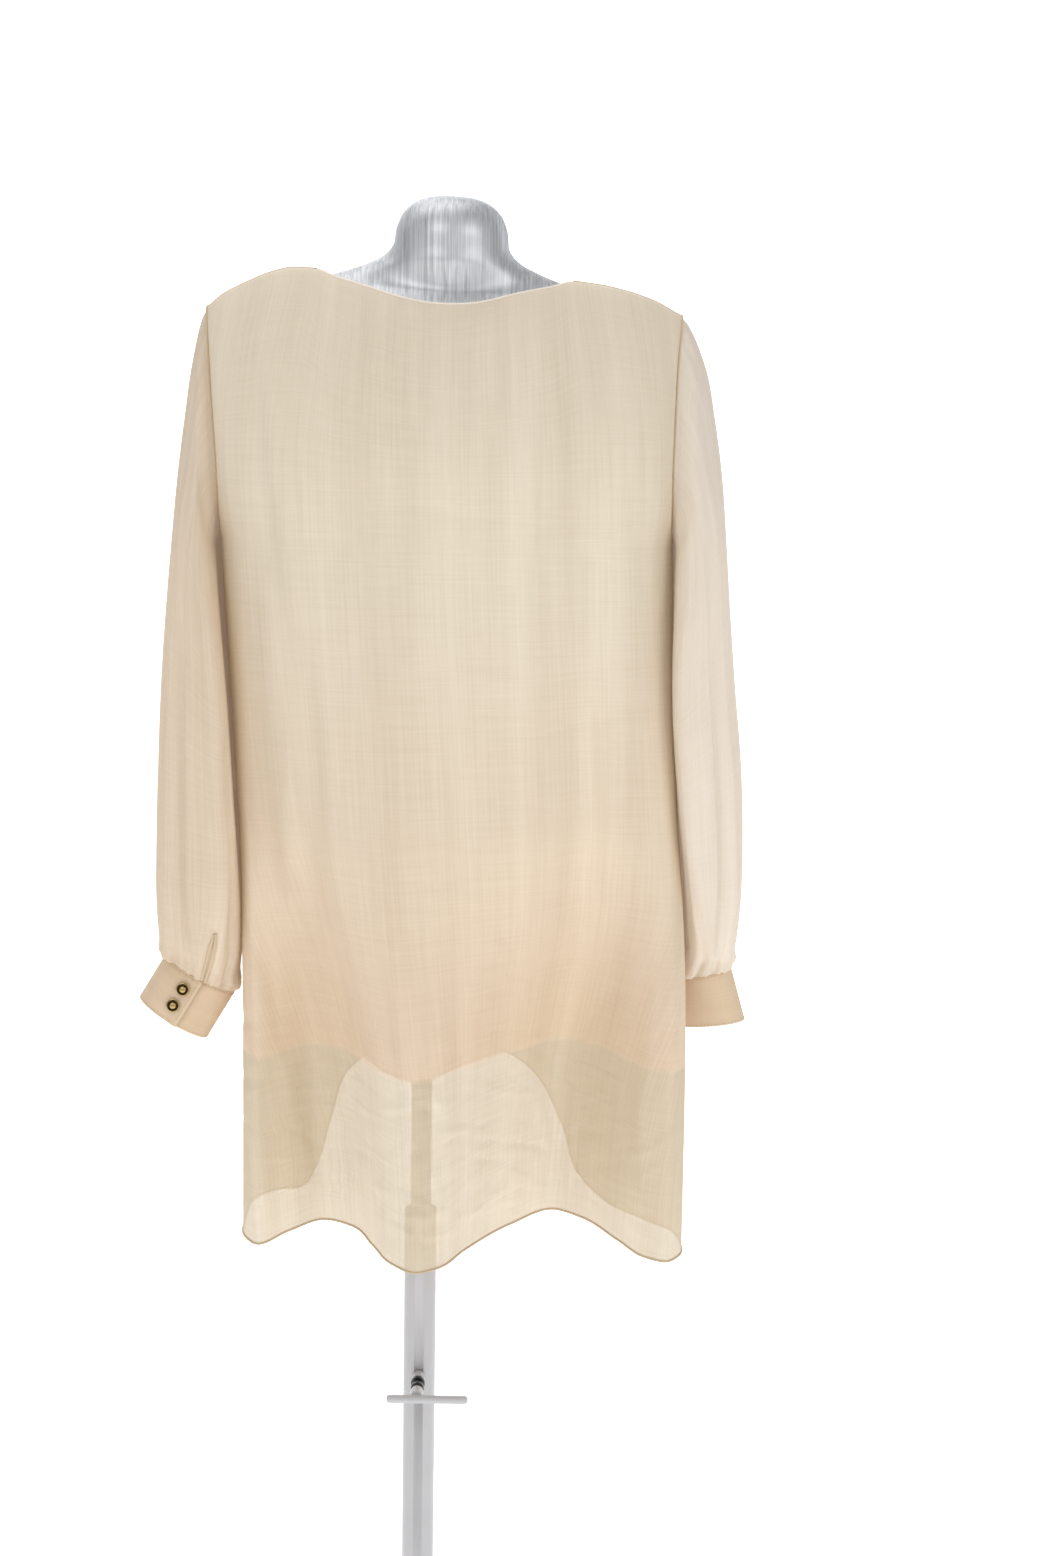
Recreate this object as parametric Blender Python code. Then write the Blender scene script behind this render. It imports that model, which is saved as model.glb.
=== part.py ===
"""A long-sleeved tunic blouse of sheer chiffon over a lining, worn by a limbless dress form.

Metres, +Z up, with the origin on the floor under the form's pole. The blouse faces -Y, so its
back is towards +Y, and the left sleeve is at +X. Every panel is a thin closed wall. Its outer
points come from named sizes and short tables, and its inner points lie one wall further in.
"""

import math

import bmesh
import bpy
import numpy as np
from mathutils import Matrix, Vector

# Cloth
WALL = 0.0010
SEAM_GAP = 0.0003
COLUMNS = 28
SECTION_POWER = 2.6

# Heights of the blouse
SHOULDER_POINT_HEIGHT = 1.3900
ACROSS_HEIGHT = 1.2500
UNDERARM_HEIGHT = 1.1900
HEM_HEIGHT = 0.5480
ARMHOLE_SHARE = 0.44

# Neckline
FRONT_NECK_DROP = 0.0850
NECK_POINT_COLUMN = 9
BINDING_HEIGHT = 0.0030
BINDING_EASE = 0.0002

# Cuffs and buttons
CUFF_WALL = 0.0018
CUFF_OVERLAP = 0.085
CUFF_COLUMNS = 27
PLACKET_WALL = 0.0008
PLACKET_EASE = 0.0009
PLACKET_SPREAD = 0.30
PLACKET_ROWS = (10.0, 10.5, 11.0, 11.45, 11.90)
BUTTON_RADIUS = 0.0062
BUTTON_SHANK_RADIUS = 0.0016
BUTTON_SEGMENTS = 12
BUTTON_SETBACK = 1.25
BUTTON_LEVELS = (("upper", 0.30), ("lower", 0.66))

# Dress form and stand
FORM_LEAN = math.radians(2.0)
FORM_BASE_HEIGHT = 0.9060
UPPER_TUBE_RADIUS = 0.0095
UPPER_TUBE_FOOT = 0.1500
LOWER_TUBE_RADIUS = 0.0150
LOWER_TUBE_TOP = 0.5580
TUBE_WALL = 0.0015
FLANGE_RADIUS = 0.0450
FLANGE_SLEEVE = 0.0300
COLLAR_DEPTH = 0.0300
SOCKET_HEIGHT = 0.0320
BASE_RADIUS = 0.1700
BASE_THICKNESS = 0.0060
CLAMP_HEIGHT = 0.4020
BOSS_RADIUS = 0.0062
BOSS_LENGTH = 0.0120
SCREW_RADIUS = 0.0040
HANDLE_REACH = 0.0700
HANDLE_RADIUS = 0.0038
HANDLE_LENGTH = 0.0750
HANDLE_SHIFT = -0.0100

# Body sections of the blouse, lowest first: height, left and right edge, how far the back and
# the front stand off the side seams, and the share of the hem's folds that has formed there.
BODY = np.array((
    (0.548, 0.1630, -0.2415, 0.110, 0.150, 1.00),
    (0.630, 0.1636, -0.2417, 0.112, 0.150, 0.96),
    (0.715, 0.1644, -0.2402, 0.114, 0.150, 0.86),
    (0.790, 0.1661, -0.2375, 0.115, 0.149, 0.66),
    (0.860, 0.1674, -0.2335, 0.115, 0.148, 0.40),
    (0.930, 0.1695, -0.2285, 0.114, 0.147, 0.17),
    (1.030, 0.1752, -0.2240, 0.112, 0.146, 0.08),
    (1.120, 0.1810, -0.2216, 0.114, 0.145, 0.03),
    (1.190, 0.1843, -0.2198, 0.116, 0.143, 0.00),
    (1.250, 0.1853, -0.2184, 0.117, 0.134, 0.00),
    (1.330, 0.1925, -0.2205, 0.117, 0.134, 0.00),
    (1.390, 0.1965, -0.2235, 0.117, 0.134, 0.00),
))
BODY_HEIGHT, BODY_LEFT, BODY_RIGHT, BODY_BACK, BODY_FRONT, BODY_FOLD = range(6)

# The back neckline: share across the back, and how far it drops below the shoulder line.
BACK_NECKLINE = np.array((
    (0.3214, 0.0000), (0.3571, 0.0075), (0.3929, 0.0120), (0.4286, 0.0175), (0.4643, 0.0239),
    (0.5000, 0.0278), (0.5357, 0.0242), (0.5714, 0.0168), (0.6071, 0.0111), (0.6429, 0.0070),
    (0.6786, 0.0000),
))

# The shoulder line from the right shoulder point to the left one: place across, height.
SHOULDER_LINE = np.array((
    (-0.2240, 1.3890), (-0.2115, 1.3965), (-0.2000, 1.4025), (-0.1800, 1.4095),
    (-0.1570, 1.4150), (-0.1250, 1.4192), (0.1000, 1.4265), (0.1250, 1.4272),
    (0.1450, 1.4215), (0.1680, 1.4110), (0.1800, 1.4050), (0.1900, 1.3980), (0.1970, 1.3895),
))

# Ridges and valleys of the back's hem, from the left side seam to the right one: x, y, height.
BACK_HEM = np.array((
    (0.1630, 0.018, 0.5560), (0.1605, 0.046, 0.5490), (0.1490, 0.060, 0.5460),
    (0.1205, 0.034, 0.5500), (0.0890, 0.006, 0.5520), (0.0620, 0.019, 0.5500),
    (0.0410, 0.060, 0.5460), (0.0220, 0.100, 0.5430), (-0.0010, 0.120, 0.5420),
    (-0.0190, 0.110, 0.5430), (-0.0430, 0.070, 0.5470), (-0.0850, 0.010, 0.5520),
    (-0.1250, -0.022, 0.5560), (-0.1510, -0.005, 0.5540), (-0.1840, 0.044, 0.5490),
    (-0.2080, 0.078, 0.5450), (-0.2262, 0.088, 0.5450), (-0.2385, 0.072, 0.5455),
    (-0.2415, 0.036, 0.5470),
))

# The same for the front, whose hem rises to the middle.
FRONT_HEM = np.array((
    (0.1630, 0.018, 0.5560), (0.1582, -0.012, 0.5640), (0.1385, -0.028, 0.5690),
    (0.1160, -0.034, 0.5690), (0.1020, -0.068, 0.5720), (0.0890, -0.128, 0.5850),
    (0.0720, -0.172, 0.6150), (0.0420, -0.186, 0.6420), (0.0080, -0.164, 0.6560),
    (-0.0300, -0.146, 0.6600), (-0.0700, -0.162, 0.6500), (-0.1060, -0.184, 0.6200),
    (-0.1320, -0.160, 0.5880), (-0.1480, -0.088, 0.5690), (-0.1780, -0.042, 0.5560),
    (-0.2115, -0.012, 0.5500), (-0.2348, 0.010, 0.5475), (-0.2415, 0.036, 0.5470),
))

# Rows of the panels: places from the shoulder, 0, to the underarm, 2, then heights below it.
OUTER_PLACES = (0.0, 0.2, 0.4, 0.6, 0.8, 1.0, 1.2, 1.4, 1.6, 1.8, 2.0)
OUTER_HEIGHTS = (1.120, 1.030, 0.930, 0.860, 0.790, 0.715, 0.630, 0.548)
LINING_PLACES = (0.0, 0.2, 0.4, 0.6, 1.0, 1.4, 2.0)
LINING_HEIGHTS = (1.030, 0.930, 0.860, 0.790, 0.715)

# Lining: height and how far it hangs inside the blouse.
LINING_INSET = np.array(((0.715, 0.0060), (0.930, 0.0036), (1.190, 0.0026), (1.300, 0.0016), (1.390, 0.0014)))

# Sleeve rings from the armhole down: outer x and height, inner x and height, half depth,
# middle y, sag of the middle, how flat the sleeve lies against the body, soft fold, gather. The
# right sleeve's x is negative.
LEFT_SLEEVE = np.array((
    (0.2040, 1.370, 0.1900, 1.186, 0.0590, 0.002, 0.036, 0.00, 0.0000, 0.0000),
    (0.2095, 1.338, 0.1908, 1.174, 0.0625, 0.004, 0.028, 0.08, 0.0006, 0.0000),
    (0.2148, 1.296, 0.1897, 1.156, 0.0650, 0.006, 0.018, 0.18, 0.0012, 0.0000),
    (0.2205, 1.248, 0.1876, 1.132, 0.0670, 0.008, 0.008, 0.30, 0.0018, 0.0000),
    (0.2262, 1.188, 0.1846, 1.098, 0.0670, 0.010, 0.000, 0.40, 0.0022, 0.0000),
    (0.2315, 1.128, 0.1810, 1.058, 0.0660, 0.010, 0.000, 0.45, 0.0024, 0.0000),
    (0.2365, 1.060, 0.1776, 1.010, 0.0650, 0.010, 0.000, 0.45, 0.0024, 0.0000),
    (0.2400, 0.985, 0.1742, 0.955, 0.0630, 0.010, 0.000, 0.45, 0.0022, 0.0000),
    (0.2425, 0.915, 0.1712, 0.900, 0.0600, 0.010, 0.000, 0.40, 0.0018, 0.0006),
    (0.2435, 0.860, 0.1698, 0.850, 0.0560, 0.010, 0.000, 0.30, 0.0010, 0.0012),
    (0.2405, 0.822, 0.1694, 0.806, 0.0440, 0.010, 0.000, 0.15, 0.0004, 0.0017),
))
RIGHT_SLEEVE = np.array((
    (-0.2335, 1.368, -0.2240, 1.186, 0.0590, 0.002, 0.036, 0.00, 0.0000, 0.0000),
    (-0.2450, 1.338, -0.2250, 1.174, 0.0625, 0.002, 0.028, 0.08, 0.0006, 0.0000),
    (-0.2545, 1.296, -0.2255, 1.156, 0.0650, 0.002, 0.018, 0.18, 0.0012, 0.0000),
    (-0.2615, 1.248, -0.2260, 1.132, 0.0670, 0.002, 0.008, 0.30, 0.0018, 0.0000),
    (-0.2670, 1.188, -0.2252, 1.098, 0.0670, 0.002, 0.000, 0.40, 0.0022, 0.0000),
    (-0.2720, 1.128, -0.2258, 1.058, 0.0660, 0.000, 0.000, 0.45, 0.0024, 0.0000),
    (-0.2785, 1.060, -0.2275, 1.010, 0.0650, -0.002, 0.000, 0.45, 0.0024, 0.0000),
    (-0.2870, 0.985, -0.2302, 0.955, 0.0630, -0.006, 0.000, 0.45, 0.0022, 0.0000),
    (-0.2915, 0.915, -0.2338, 0.900, 0.0600, -0.012, 0.000, 0.40, 0.0018, 0.0006),
    (-0.2925, 0.860, -0.2368, 0.850, 0.0560, -0.018, 0.000, 0.30, 0.0010, 0.0012),
    (-0.2895, 0.816, -0.2372, 0.806, 0.0470, -0.026, 0.000, 0.15, 0.0004, 0.0016),
))
OUTER_X, OUTER_Z, INNER_X, INNER_Z, HALF_DEPTH, MIDDLE_Y, SAG, PRESS, FOLD, GATHER = range(10)
SLEEVE_POINTS = 27
SLEEVE_FOLDS = 3
FOLD_TURN = 0.6
SLEEVE_GATHERS = 7
GATHER_AT_CUFF = 0.0012
LEFT_SLIT_COLUMN = 8
RIGHT_SLIT_COLUMN = 17

# Cuff rings, top then bottom, with the same first six columns.
LEFT_CUFF = np.array((
    (0.2370, 0.8040, 0.1730, 0.7700, 0.0250, 0.006),
    (0.2610, 0.7640, 0.1990, 0.7260, 0.0270, 0.006),
))
RIGHT_CUFF = np.array((
    (-0.2870, 0.7915, -0.2290, 0.7820, 0.0320, -0.040),
    (-0.3020, 0.7385, -0.2260, 0.7335, 0.0250, -0.044),
))
# Where each cuff closes, as an angle round it from its outer side towards the back.
LEFT_CLOSURE = math.radians(84.0)
RIGHT_CLOSURE = math.radians(-130.0)

# Dress form sections, lowest first: height, half width, half depth behind and before, power.
FORM = np.array((
    (0.9060, 0.118, 0.074, 0.072, 2.1),
    (0.9120, 0.136, 0.088, 0.084, 2.2),
    (0.9300, 0.150, 0.098, 0.094, 2.2),
    (0.9700, 0.156, 0.102, 0.098, 2.2),
    (1.0200, 0.140, 0.090, 0.094, 2.2),
    (1.0700, 0.128, 0.082, 0.094, 2.2),
    (1.1200, 0.134, 0.088, 0.110, 2.2),
    (1.1700, 0.146, 0.098, 0.130, 2.2),
    (1.2100, 0.154, 0.104, 0.132, 2.3),
    (1.2600, 0.164, 0.106, 0.118, 2.4),
    (1.3100, 0.176, 0.098, 0.094, 2.4),
    (1.3500, 0.183, 0.082, 0.076, 2.3),
    (1.3800, 0.181, 0.064, 0.060, 2.1),
    (1.3949, 0.171, 0.0505, 0.046, 1.9),
    (1.4043, 0.154, 0.0445, 0.038, 1.6),
    (1.4099, 0.132, 0.0420, 0.032, 1.5),
    (1.4200, 0.100, 0.0435, 0.037, 1.45),
    (1.4285, 0.076, 0.0455, 0.045, 1.6),
    (1.4366, 0.060, 0.0475, 0.049, 1.8),
    (1.4450, 0.0522, 0.047, 0.050, 2.0),
    (1.4620, 0.0490, 0.048, 0.051, 2.0),
    (1.4760, 0.0428, 0.043, 0.046, 2.0),
    (1.4850, 0.0325, 0.034, 0.037, 2.0),
    (1.4900, 0.0170, 0.019, 0.021, 2.0),
))
FORM_POINTS = 28


def clear_scene():
    for thing in list(bpy.data.objects):
        bpy.data.objects.remove(thing, do_unlink=True)


def material(name, colour, roughness, metallic=0.0):
    """A plain Principled material."""
    made = bpy.data.materials.new(name)
    made.use_nodes = True
    shader = made.node_tree.nodes["Principled BSDF"]
    shader.inputs["Base Color"].default_value = (*colour, 1.0)
    shader.inputs["Roughness"].default_value = roughness
    shader.inputs["Metallic"].default_value = metallic
    return made


def add_object(name, points, faces, finish, smooth=True):
    """One closed body from points and faces, with its faces turned outward."""
    mesh = bpy.data.meshes.new(name)
    mesh.from_pydata([tuple(p) for p in points], [], faces)
    build = bmesh.new()
    build.from_mesh(mesh)
    bmesh.ops.recalc_face_normals(build, faces=build.faces)
    build.to_mesh(mesh)
    build.free()
    if smooth:
        mesh.shade_smooth()
        mesh.set_sharp_from_angle(angle=math.radians(40))
    mesh.materials.append(finish)
    made = bpy.data.objects.new(name, mesh)
    bpy.context.scene.collection.objects.link(made)
    return made


def read_table(table, column, place):
    """A table's column at a place in its first column, straight between rows."""
    return np.interp(place, table[:, 0], table[:, column])


def along(rows, share):
    """Smooth curve through rows of numbers, read at shares 0 to 1 of its length."""
    rows = np.asarray(rows, float)
    steps = np.linalg.norm(np.diff(rows, axis=0), axis=1)
    knots = np.concatenate(([0.0], np.cumsum(steps))) / steps.sum()
    slopes = np.gradient(rows, knots, axis=0)
    share = np.clip(share, 0.0, 1.0)
    left = np.clip(np.searchsorted(knots, share, side="right") - 1, 0, len(knots) - 2)
    width = (knots[left + 1] - knots[left])[..., None]
    t = (share - knots[left])[..., None] / width
    return (
        (2 * t**3 - 3 * t**2 + 1) * rows[left]
        + (t**3 - 2 * t**2 + t) * width * slopes[left]
        + (3 * t**2 - 2 * t**3) * rows[left + 1]
        + (t**3 - t**2) * width * slopes[left + 1]
    )


def body_point(side, share, place):
    """Outer points of the back (side 1) or front (side -1), with no neckline cut yet.

    Share runs from the left edge, 0, to the right edge, 1. Place is 0 on the shoulder line, 1
    across the chest, 2 at the underarm and 3 at the hem.
    """
    lift = np.cos(np.clip(place, 0, 1) * math.pi / 2)
    turn = np.clip(place - 1, 0, 1) * math.pi / 2
    below = np.clip(place - 2, 0, 1) * (UNDERARM_HEIGHT - HEM_HEIGHT)
    height = ACROSS_HEIGHT + (SHOULDER_POINT_HEIGHT - ACROSS_HEIGHT) * lift
    height = height - (ACROSS_HEIGHT - UNDERARM_HEIGHT) * np.sin(turn) - below
    edge = np.arcsin((ARMHOLE_SHARE * np.cos(turn)) ** (SECTION_POWER / 2))
    angle = edge + (math.pi - 2 * edge) * share
    across = np.sign(np.cos(angle)) * np.abs(np.cos(angle)) ** (2 / SECTION_POWER)
    across = across / np.cos(edge) ** (2 / SECTION_POWER)
    left, right = (read_table(BODY, c, height) for c in (BODY_LEFT, BODY_RIGHT))
    depth = read_table(BODY, BODY_BACK if side > 0 else BODY_FRONT, np.minimum(height, ACROSS_HEIGHT))
    fold = read_table(BODY, BODY_FOLD, height)
    rounded = (1 - lift**1.8) ** 0.55 if side > 0 else (1 - lift**1.5) ** 0.60
    x = (left + right) / 2 + (left - right) / 2 * across
    y = depth * np.abs(np.sin(angle)) ** (2 / SECTION_POWER) * rounded
    ridge = read_table(SHOULDER_LINE, 1, x)
    hem = along(BACK_HEM if side > 0 else FRONT_HEM, share)
    fall = (ACROSS_HEIGHT - np.minimum(height, ACROSS_HEIGHT)) / (ACROSS_HEIGHT - HEM_HEIGHT)
    z = ACROSS_HEIGHT + (ridge - ACROSS_HEIGHT) * lift - (ACROSS_HEIGHT - hem[..., 2]) * fall
    x = x * (1 - fold) + hem[..., 0] * fold
    y = side * (y * (1 - fold) + SEAM_GAP / 2) + hem[..., 1] * fold
    return np.stack((x, y, z), axis=-1)


def body_normal(side, share, place):
    """Outward unit normals of the same surface."""
    step = 0.004
    over = body_point(side, np.clip(share + step, 0, 1), place)
    over = over - body_point(side, np.clip(share - step, 0, 1), place)
    down = body_point(side, share, np.clip(place + step, 0, 3))
    down = down - body_point(side, share, np.clip(place - step, 0, 3))
    normal = side * np.cross(down, over)
    return normal / np.linalg.norm(normal, axis=-1, keepdims=True)


def neck_start(side, share):
    """The place where each column starts: 0 on the shoulder seam, further at the neck."""
    x = body_point(side, share, np.zeros_like(share))[:, 0]
    reach = 0.5 - NECK_POINT_COLUMN / COLUMNS
    off = np.clip(np.abs(share - 0.5) / reach, 0.0, 1.0)
    drop = read_table(BACK_NECKLINE, 1, share) if side > 0 else FRONT_NECK_DROP * (1 - off**2.2)
    ridge = read_table(SHOULDER_LINE, 1, x) - ACROSS_HEIGHT
    return np.arccos(np.clip(1 - drop / ridge, 0.0, 1.0)) * 2 / math.pi


def body_grids(upper, lower):
    """Outer points and outward normals of the back and the front, on the rows given."""
    share = np.linspace(0.0, 1.0, COLUMNS + 1)
    below = [2 + (UNDERARM_HEIGHT - height) / (UNDERARM_HEIGHT - HEM_HEIGHT) for height in lower]
    levels = np.array(list(upper) + below)[:, None]
    grids, normals = {}, {}
    for side in (1, -1):
        start = neck_start(side, share)
        place = np.where(levels < 1, start + (1 - start) * levels, levels + 0 * start)
        grids[side] = body_point(side, share + 0 * place, place)
        normals[side] = body_normal(side, share + 0 * place, place)
    shared = normals[1] + normals[-1]
    shared /= np.linalg.norm(shared, axis=2, keepdims=True)
    first, last = NECK_POINT_COLUMN, COLUMNS - NECK_POINT_COLUMN
    for side in (1, -1):
        normals[side][0, : first + 1] = shared[0, : first + 1]
        normals[side][0, last:] = shared[0, last:]
        normals[side][len(upper) - 1 :, [0, -1]] = shared[len(upper) - 1 :, [0, -1]]
    return grids, normals


def grid_normals(grid, closed=False):
    """Unit normals of a grid of points, from its rows and columns."""
    if closed:
        along_row = np.roll(grid, -1, axis=1) - np.roll(grid, 1, axis=1)
    else:
        along_row = np.gradient(grid, axis=1)
    normal = np.cross(np.gradient(grid, axis=0), along_row)
    return normal / np.linalg.norm(normal, axis=2, keepdims=True)


def square_to(normals, axis):
    """The same normals with no part along an axis."""
    flat = normals - np.outer(normals @ axis, axis)
    return flat / np.linalg.norm(flat, axis=1, keepdims=True)


def wall_faces(rows, columns, closed):
    """Faces of a wall: outer points first, inner points after them."""
    count = rows * columns
    wrap = columns if closed else columns - 1
    faces = []
    for r in range(rows - 1):
        for c in range(wrap):
            d = (c + 1) % columns
            a, b, e, f = r * columns + c, r * columns + d, (r + 1) * columns + d, (r + 1) * columns + c
            faces.append((a, b, e, f))
            faces.append((a + count, f + count, e + count, b + count))
    for c in range(wrap):
        d = (c + 1) % columns
        last = (rows - 1) * columns
        faces.append((c, c + count, d + count, d))
        faces.append((last + c, last + d, last + d + count, last + c + count))
    if not closed:
        for r in range(rows - 1):
            for c in (0, columns - 1):
                a, f = r * columns + c, (r + 1) * columns + c
                faces.append((a, f, f + count, a + count) if c == 0 else (a, a + count, f + count, f))
    return faces


def add_wall(name, outer, normals, thickness, finish, closed=False):
    """A thin closed wall on a grid of outer points."""
    rows, columns = outer.shape[:2]
    inner = outer - normals * thickness
    points = np.concatenate((outer.reshape(-1, 3), inner.reshape(-1, 3)))
    return add_object(name, points, wall_faces(rows, columns, closed), finish)


def add_body(chiffon, lining):
    """Back and front of the blouse and of its lining, which hangs inside it."""
    grids, normals = body_grids(OUTER_PLACES, OUTER_HEIGHTS)
    for side, name in ((1, "back"), (-1, "front")):
        add_wall(name, grids[side], normals[side], WALL, chiffon)
    inner_grids, inner_normals = body_grids(LINING_PLACES, LINING_HEIGHTS)
    for side, name in ((1, "lining_back"), (-1, "lining_front")):
        grid = inner_grids[side]
        inset = read_table(LINING_INSET, 1, grid[:, :, 2])[:, :, None]
        add_wall(name, grid - inner_normals[side] * inset, inner_normals[side], WALL, lining)
    return grids, normals


def neck_loop(grids, normals):
    """Points and normals round the neckline, along the back and returning along the front."""
    first, last = NECK_POINT_COLUMN, COLUMNS - NECK_POINT_COLUMN
    back, front = slice(first, last + 1), slice(last - 1, first, -1)
    points = np.concatenate((grids[1][0, back], grids[-1][0, front]))
    outward = np.concatenate((normals[1][0, back], normals[-1][0, front]))
    return points, outward


def add_binding(grids, normals, finish):
    """Narrow bias binding that stands on the neck edges of the blouse and its lining."""
    points, outward = neck_loop(grids, normals)
    tangent = np.roll(points, -1, axis=0) - np.roll(points, 1, axis=0)
    tangent /= np.linalg.norm(tangent, axis=1, keepdims=True)
    up = np.cross(outward, tangent)
    up /= np.linalg.norm(up, axis=1, keepdims=True)
    centre = points.mean(axis=0)
    toward = np.einsum("ij,ij->i", up, centre - points)
    up *= np.sign(toward)[:, None]
    outside, inside = BINDING_EASE, -(2 * WALL + 3 * BINDING_EASE)
    chamfer = 3 * BINDING_EASE
    top = SEAM_GAP + BINDING_HEIGHT
    section = ((SEAM_GAP, outside), (top, outside - chamfer), (top, inside + chamfer), (SEAM_GAP, inside))
    corners = [points + up * rise + outward * shift for rise, shift in section]
    count = len(points)
    faces = []
    for i in range(count):
        j = (i + 1) % count
        for k in range(4):
            m = (k + 1) % 4
            faces.append((k * count + i, k * count + j, m * count + j, m * count + i))
    return add_object("neck_binding", np.concatenate(corners), faces, finish)


def ring(row, angles):
    """Points of a sleeve or cuff ring: an ellipse, or flatter on its inner side."""
    half_x, half_z = (row[OUTER_X] - row[INNER_X]) / 2, (row[OUTER_Z] - row[INNER_Z]) / 2
    middle_x, middle_z = (row[OUTER_X] + row[INNER_X]) / 2, (row[OUTER_Z] + row[INNER_Z]) / 2
    sag, press, fold, gather = row[SAG:] if len(row) > SAG else (0.0, 0.0, 0.0, 0.0)
    swell = 1 + fold / abs(half_x) * np.cos(SLEEVE_FOLDS * angles + FOLD_TURN)
    swell += gather / abs(half_x) * np.cos(SLEEVE_GATHERS * angles)
    across = np.cos(angles)
    across = np.where(across < 0, -np.abs(across) ** (1 - press), across)
    x = middle_x + half_x * across * swell
    y = row[MIDDLE_Y] + row[HALF_DEPTH] * np.sin(angles) * swell
    z = middle_z + half_z * across * swell - sag * np.sin(angles) ** 2
    return np.stack((x, y, z), axis=1)


def armhole_ring(grids, column, step):
    """The body's armhole edge as a ring of sleeve points, moved one step across."""
    count = len(OUTER_PLACES)
    down, up = grids[1][:count, column], grids[-1][count - 1 :: -1, column]
    loop = np.concatenate((down, up[1:]))
    place = np.arange(SLEEVE_POINTS) / SLEEVE_POINTS * (len(loop) - 1)
    points = np.stack([np.interp(place, np.arange(len(loop)), loop[:, i]) for i in range(3)], axis=1)
    points[:, 0] += step
    return points


def cuff_axis(cuff):
    """Unit vector square to the cuff's top ring, pointing up the sleeve."""
    across = np.array((cuff[0][OUTER_X] - cuff[0][INNER_X], 0.0, cuff[0][OUTER_Z] - cuff[0][INNER_Z]))
    axis = np.cross(across, (0.0, 1.0, 0.0))
    return axis / np.linalg.norm(axis) * np.sign(axis[2])


def cuff_top(cuff):
    """The cuff's first row, lifted off it by the seam gap along the cuff's axis."""
    lift = cuff_axis(cuff) * 1.5 * SEAM_GAP
    row = cuff[0].copy()
    row[[OUTER_X, INNER_X]] += lift[0]
    row[[OUTER_Z, INNER_Z]] += lift[2]
    return row


def add_sleeve(name, grids, column, table, cuff, finish):
    """One-piece sleeve from its armhole down to the gathers above the cuff."""
    sign = 1 if column == 0 else -1
    angles = np.arange(SLEEVE_POINTS) * 2 * math.pi / SLEEVE_POINTS
    rings = [armhole_ring(grids, column, sign * 2 * SEAM_GAP)]
    rings += [ring(row, angles) for row in table]
    last = np.concatenate((cuff_top(cuff), (0.0, 0.0, 0.0, GATHER_AT_CUFF)))
    rings.append(ring(last, angles))
    grid = np.array(rings)
    normals = sign * grid_normals(grid, closed=True)
    normals[0] = square_to(normals[0], np.array((1.0, 0.0, 0.0)))
    normals[-1] = square_to(normals[-1], cuff_axis(cuff))
    add_wall(name, grid, normals, WALL, finish, closed=True)
    return grid, normals


def add_cuff(name, cuff, closure, finish):
    """Deep two-layer cuff: a band whose end laps over its beginning at the closure."""
    share = np.linspace(0.0, 1.0 + CUFF_OVERLAP, CUFF_COLUMNS)
    angles = closure + 2 * math.pi * (share - 1.0 - CUFF_OVERLAP / 2)
    grid = np.array([ring(cuff[0] * (1 - level) + cuff[1] * level, angles) for level in (0.0, 0.5, 1.0)])
    normals = grid_normals(grid)
    normals *= np.sign((normals * (grid - grid.mean(axis=(0, 1)))).sum())
    under = np.clip(1 - (share - CUFF_OVERLAP * 1.4) / 0.18, 0.0, 1.0)
    grid -= normals * ((CUFF_WALL + 1.5 * SEAM_GAP) * under * under * (3 - 2 * under))[None, :, None]
    add_wall(name, grid, normals, CUFF_WALL, finish)
    return grid, normals


def turned(name, profile, segments, finish, frame, tube=False):
    """A turned body on the local Z axis: profile rows are radius, height.

    A tube's closed profile never reaches the axis. Any other body has a flat cap at each end.
    """
    points = []
    for radius, height in profile:
        for i in range(segments):
            turn = 2 * math.pi * i / segments
            points.append(frame @ Vector((radius * math.cos(turn), radius * math.sin(turn), height)))
    count = len(profile)
    faces = []
    for k in range(count if tube else count - 1):
        low, high = k * segments, (k + 1) % count * segments
        for i in range(segments):
            j = (i + 1) % segments
            faces.append((low + i, low + j, high + j, high + i))
    if not tube:
        faces.append(tuple(range(segments))[::-1])
        faces.append(tuple((count - 1) * segments + i for i in range(segments)))
    return add_object(name, points, faces, finish)


def grid_at(grid, row, column):
    """A grid's point between its rows and columns."""
    top, first = min(int(row), len(grid) - 2), min(int(column), grid.shape[1] - 2)
    down, over = row - top, column - first
    above = grid[top, first] * (1 - over) + grid[top, first + 1] * over
    under = grid[top + 1, first] * (1 - over) + grid[top + 1, first + 1] * over
    return above * (1 - down) + under * down


def add_buttons(side, grid, normals, finish):
    """Two domed metal buttons with a shank, in a row along the cuff's lapped end."""
    column = grid.shape[1] - 1 - BUTTON_SETBACK
    profile = (
        (BUTTON_SHANK_RADIUS, SEAM_GAP), (BUTTON_SHANK_RADIUS, 0.0014), (BUTTON_RADIUS, 0.0016),
        (BUTTON_RADIUS, 0.0026), (BUTTON_RADIUS - 0.0012, 0.0034), (0.0014, 0.0038),
    )
    for label, level in BUTTON_LEVELS:
        row = level * (len(grid) - 1)
        normal = Vector(grid_at(normals, row, column)).normalized()
        facing = normal.to_track_quat("Z", "Y").to_matrix().to_4x4()
        frame = Matrix.Translation(Vector(grid_at(grid, row, column))) @ facing
        turned(f"button_{side}_{label}", profile, BUTTON_SEGMENTS, finish, frame)


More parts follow.
